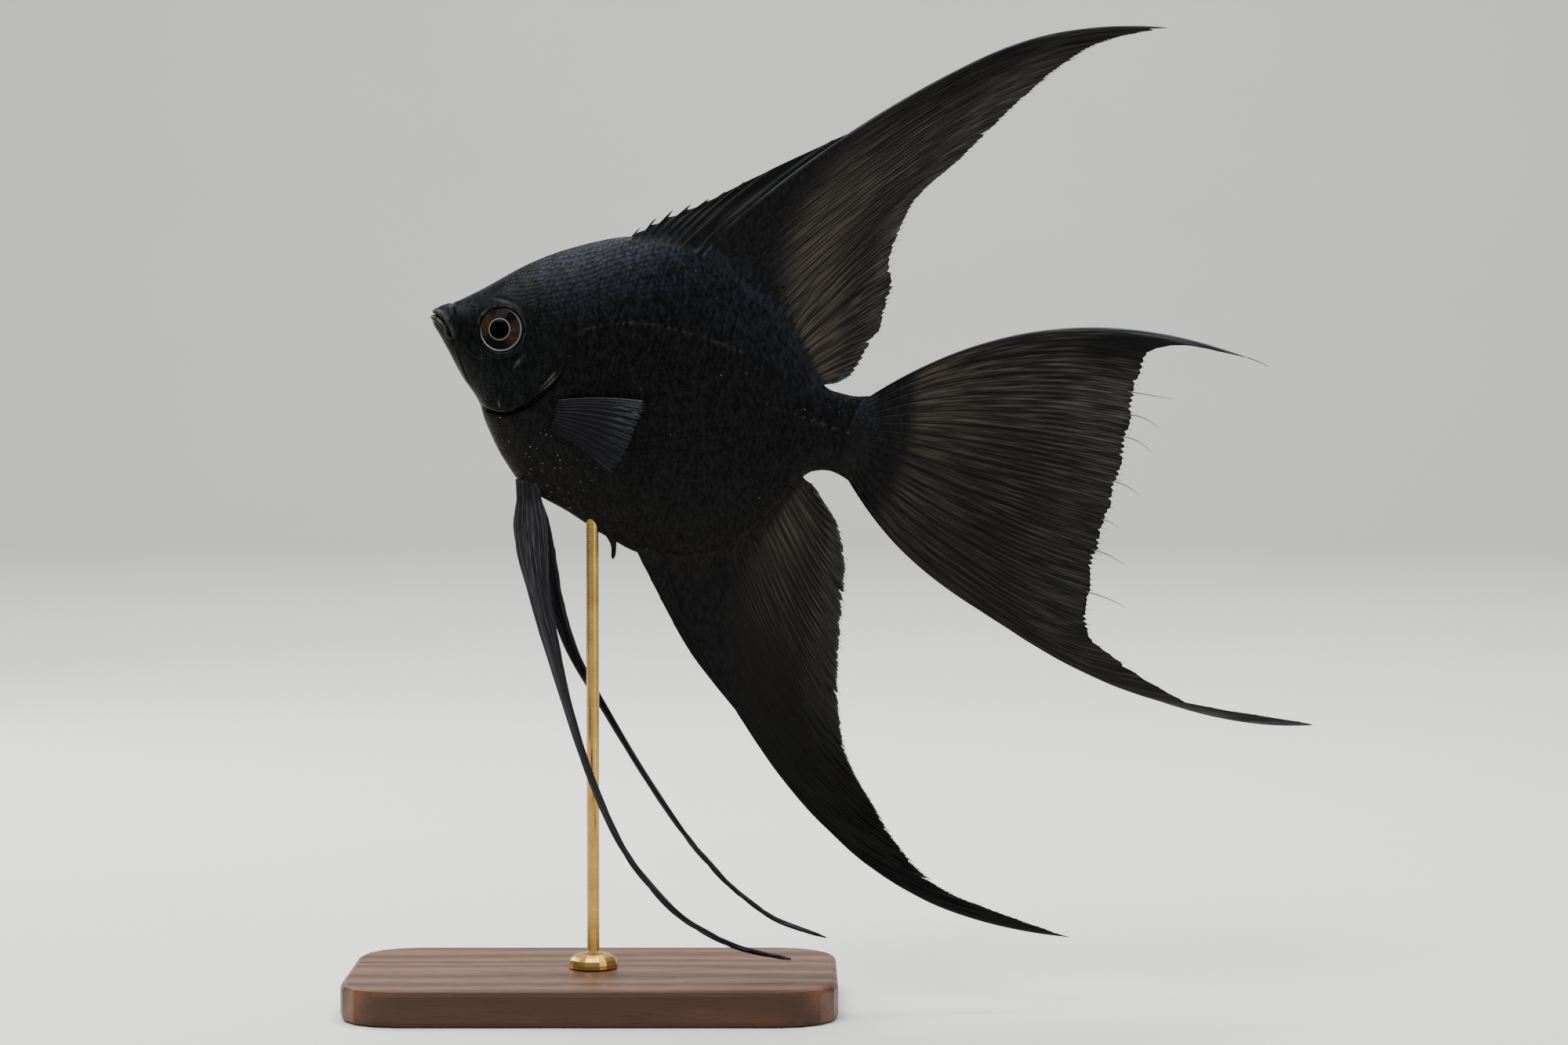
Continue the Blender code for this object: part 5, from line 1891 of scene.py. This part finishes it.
@dataclass
class Eye:
    """An eye: a flattened ball with a lens that stands out of a dished iris.

    Depths and the sink are in hundredths of the fish's length, the lens is a share of the ball's radius and
    the relief is in mm.
    """

    side: Side
    body: Body
    depths: tuple[float, float] = (1.85, 2.6)
    sink: float = 0.62
    lean: float = -0.05
    rows: int = 56
    around: int = 144
    lens: float = 0.46
    dome: float = 0.22
    dish: float = 0.16
    lip: float = 0.05
    # How bright the silver rim is round the eye, as a painted highlight, from its rear edge on, as degrees
    # and shares.
    shine: tuple[tuple[float, float], ...] = (
        (0, 0.42), (45, 0.30), (80, 0.12), (110, 0.0), (185, 0.0), (212, 0.5), (236, 1.0), (262, 0.8),
        (300, 0.55), (330, 0.4), (360, 0.42),
    )

    def build(self) -> bpy.types.Object:
        """Builds the eye and hides its solid.

        Returns:
            The eye's piece.
        """
        x0, z0 = self.body.eye
        reach = self.body.eye_radius * np.array([-1.0, 1.0])
        ahead, behind = self.body.half_width(x0 + reach, np.array([z0, z0]))
        y0 = (ahead + behind) / 2 - self.sink
        turn = math.atan2(behind - ahead, 2 * self.body.eye_radius)
        polar = np.linspace(0.0, np.pi, self.rows + 1)[:, None]
        about = np.linspace(0, 2 * np.pi, self.around, endpoint=False)[None]
        out = np.sin(polar)
        front = polar < np.pi / 2
        relief = self.dome * np.sqrt(np.clip(1 - (out / self.lens) ** 2, 0, 1))
        relief = relief - self.dish * ease(self.lens + 0.02, self.lens + 0.10, out) * ease(1.0, 0.80, out)
        relief = relief + self.lip * bump(out - self.lens - 0.03, 0.03)
        deep = np.where(front, self.depths[0], self.depths[1]) * np.cos(polar)
        deep = deep + np.where(front, relief, 0) * MM
        across = self.body.eye_radius * out * np.cos(about)
        high = self.body.eye_radius * out * np.sin(about) + 0 * deep
        deep = deep + 0 * about
        x = x0 + across * math.cos(turn) - deep * math.sin(turn)
        y = self.side.value * (y0 + across * math.sin(turn) + deep * math.cos(turn) + self.lean * high)
        points = np.stack([x, y, z0 + high], axis=-1).reshape(-1, 3)
        # The ball's two poles are one point each, so the quads round them are triangles.
        index = rings(self.rows + 1, self.around)
        index[0], index[-1] = index[0, 0], index[-1, 0]
        degrees, shares = zip(*self.shine)
        fields = {
            "out": (np.where(front, out, 1.0) + 0 * about).reshape(-1),
            "ahead": (np.cos(about) + 0 * out).reshape(-1),
            "shine": (np.interp(about, np.radians(degrees), shares) * ease(1.0, 0.975, out)).reshape(-1),
        }
        faces = quads(index if self.side is Side.RIGHT else index[:, ::-1])
        points, faces, fields = trimmed(points, faces, fields)
        corners = [list(dict.fromkeys(face)) for face in faces.tolist()]
        label = self.side.name.lower()
        piece = place_piece(f"eyeball_{label}", points, corners, fields)
        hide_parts(f"eye_{label}")
        return piece


@dataclass
class Papilla:
    """The small tube behind the belly, wider at its foot and creased along its length. Radii in mm."""

    root: tuple[float, float] = (52.4, -36.2)
    tip: tuple[float, float] = (54.6, -42.0)
    radii: Curve = Curve(((0.0, 1.3), (0.25, 0.85), (0.5, 0.55), (0.9, 0.40), (1.0, 0.05)))
    stations: int = 24
    around: int = 16
    bend: float = 0.5
    creases: int = 3
    crease: float = 0.08

    def build(self) -> bpy.types.Object:
        """Builds the tube and hides its solid.

        Returns:
            The tube's piece.
        """
        s = np.linspace(0, 1, self.stations)
        x = self.root[0] + (self.tip[0] - self.root[0]) * s + self.bend * np.sin(np.pi * s)
        z = self.root[1] + (self.tip[1] - self.root[1]) * s
        turn = np.linspace(0, 2 * np.pi, self.around, endpoint=False)
        radii = self.radii.at(s)[:, None] * (1 + self.crease * np.sin(self.creases * turn))
        thread = Thread(np.stack([x, 0 * x, z], axis=-1), sides=self.around)
        points, faces = thread.tube()
        centre = np.repeat(thread.path, self.around, axis=0)
        away = points - centre
        away /= np.maximum(np.linalg.norm(away, axis=1, keepdims=True), TINY)
        points = centre + away * radii.reshape(-1, 1) * MM * (1, 0.8, 1)
        values = {"level": -0.6, "flecks": 0.3, "tone": 0.8}
        fields = {name: np.full(len(points), value) for name, value in values.items()}
        piece = place_piece("papilla_tube", points, faces.tolist(), fields)
        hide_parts("vent_papilla")
        return piece


@dataclass
class Studio:
    """Backdrop, lights and camera. Sizes in metres."""

    width: float = 0.320
    centre: tuple[float, float] = (0.0391, 0.0990)
    distance: float = 0.80
    elevation: float = math.radians(2.5)
    sensor: float = 36.0
    floor: tuple[float, float, float, float] = (4.0, -4.0, 1.9, 0.7)
    wall_lamp: tuple[Point, Point, float, float] = (
        (0.1, 0.6, 1.5), (0.0, 2.5, 0.25), 1.0, 45.0,
    )
    sky: str = "#e6e8ec"
    sky_strength: float = 0.25
    lamps: tuple[tuple[str, Point, float, float], ...] = (
        ("key", (-0.30, -0.45, 0.85), 0.45, 9.0),
        ("top", (0.10, 0.10, 0.85), 0.60, 10.0),
        ("fill", (0.70, -0.60, 0.30), 0.60, 2.0),
        ("rim", (-0.45, 0.45, 0.35), 0.35, 3.0),
    )

    def build(self) -> None:
        """Makes the backdrop, lamps, camera and sky."""
        self.backdrop()
        target = np.array([self.centre[0], 0.0, self.centre[1]])
        for name, where, size, power in self.lamps:
            self.lamp(name, np.array(where), target, size, power)
        where, wall, size, power = self.wall_lamp
        self.lamp("wall", np.array(where), np.array(wall), size, power)
        camera = bpy.data.cameras.new("camera")
        camera.sensor_width = self.sensor
        camera.lens = self.sensor * self.distance / self.width
        back = np.array([0, -math.cos(self.elevation), math.sin(self.elevation)]) * self.distance
        eye = bpy.data.objects.new("camera", camera)
        self.aim(eye, target + back, target)
        bpy.context.scene.camera = eye
        world = bpy.data.worlds.new("studio")
        world.use_nodes = True
        world.node_tree.nodes["Background"].inputs["Color"].default_value = linear(self.sky)
        world.node_tree.nodes["Background"].inputs["Strength"].default_value = self.sky_strength
        bpy.context.scene.world = world

    def backdrop(self) -> None:
        """Makes a sheet of paper that is the floor and bends up into the wall."""
        wide, near, far, bend = self.floor
        turn = np.linspace(0, np.pi / 2, 24)
        y = np.concatenate([[near], far + bend * np.sin(turn), [far + bend]])
        z = np.concatenate([[0], bend * (1 - np.cos(turn)), [3.0]])
        across = np.array([-wide, wide])
        points = np.stack(np.broadcast_arrays(across, y[:, None], z[:, None]), axis=-1).reshape(-1, 3)
        faces = quads(np.arange(len(points)).reshape(-1, 2)[:, ::-1])
        mesh = bpy.data.meshes.new("backdrop")
        mesh.from_pydata(points.tolist(), [], faces.tolist())
        mesh.shade_smooth()
        mesh.materials.append(StudioPaper("backdrop_paper", 0.9).material())
        backdrop = bpy.data.objects.new("backdrop", mesh)
        bpy.context.scene.collection.objects.link(backdrop)

    def lamp(self, name: str, where: Array, target: Array, size: float, power: float) -> None:
        """Hangs a square soft lamp.

        Args:
            name: Its name.
            where: Its place.
            target: What it shines at.
            size: Its side, in metres.
            power: Its power, in watts.
        """
        light = bpy.data.lights.new(name, "AREA")
        light.energy, light.size = power, size
        self.aim(bpy.data.objects.new(name, light), where, target)

    @staticmethod
    def aim(thing: bpy.types.Object, where: Array, target: Array) -> None:
        """Links a lamp or camera at a place, turned to look at the target.

        Args:
            thing: The lamp or camera.
            where: Its place.
            target: The place that it looks at.
        """
        bpy.context.scene.collection.objects.link(thing)
        thing.location = where
        ahead = bpy.context.scene.cursor.location.copy()
        ahead.xyz = (target - where).tolist()
        thing.rotation_euler = ahead.to_track_quat("-Z", "Y").to_euler()


def dress(pieces: Iterable[bpy.types.Object], finish: Finish) -> None:
    """Gives pieces one finish.

    Args:
        pieces: The pieces, each of which loses any finish that it had.
        finish: The finish.
    """
    material = finish.material()
    for piece in pieces:
        piece.data.materials.clear()
        piece.data.materials.append(material)
        LOG.info("%s: %s", piece.name, finish.name)


def main() -> None:
    """Builds and dresses the fish, its stand and the studio."""
    logging.basicConfig(level=logging.INFO, format="%(name)s: %(message)s")
    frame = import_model()
    body = Body()
    half, skin = body.skin()
    skinned = [skin, *body.coat(half), Papilla().build()]
    fins = []
    for fin in median_fins(body):
        sheet, piece = fin.build()
        fins.append(piece)
        if fin.root_line and not fin.neighbour:
            skinned.append(fin.coat(sheet))
    near = (
        (32.6, -34.0), (35.9, -43.0), (40.2, -52.6), (47.6, -65.6), (56.1, -79.4), (66.2, -93.6),
        (79.1, -107.0), (95.5, -116.0), (108.0, -117.9), (118.8, -117.0),
    )
    far = (
        (33.1, -34.3), (38.2, -43.5), (44.0, -53.7), (51.3, -64.5), (63.9, -77.1), (78.0, -90.1),
        (91.2, -100.6), (104.2, -108.2), (115.4, -111.7), (126.0, -112.3),
    )
    pelvics = [PelvicFin(Side.LEFT, near).build(), PelvicFin(Side.RIGHT, far, slim=0.76).build()]
    pectorals = [PectoralFin(side, body).build() for side in Side]
    eyes = [Eye(side, body).build() for side in Side]
    black = BlackSkin("black_skin", 0.42)
    dress(skinned, black)
    dress(fins, VeilFin("veil_fin", 0.50, skin=black))
    dress(pelvics, VeilFin(
        "violet_fin", 0.45, skin=black, web="#08070a", ray="#333136", glint="#545257", pale="#66666c",
        streak_mm=12.0,
    ))
    dress(pectorals, VeilFin(
        "dusky_fin", 0.40, skin=black, web="#08080b", ray="#1f2026", glint="#4b4c52", pale="#5e6168",
    ))
    dress(eyes, EyeGlass("eye_glass", 0.18))
    nodes = frame["nodes"]
    dress([nodes["stand_base"]], Walnut("walnut_planed_oiled", 0.42))
    dress([nodes["stand_rod"], nodes["stand_collar"]], Brass("brass_drawn_satin", 0.28))
    Studio().build()


if __name__ == "__main__":
    main()
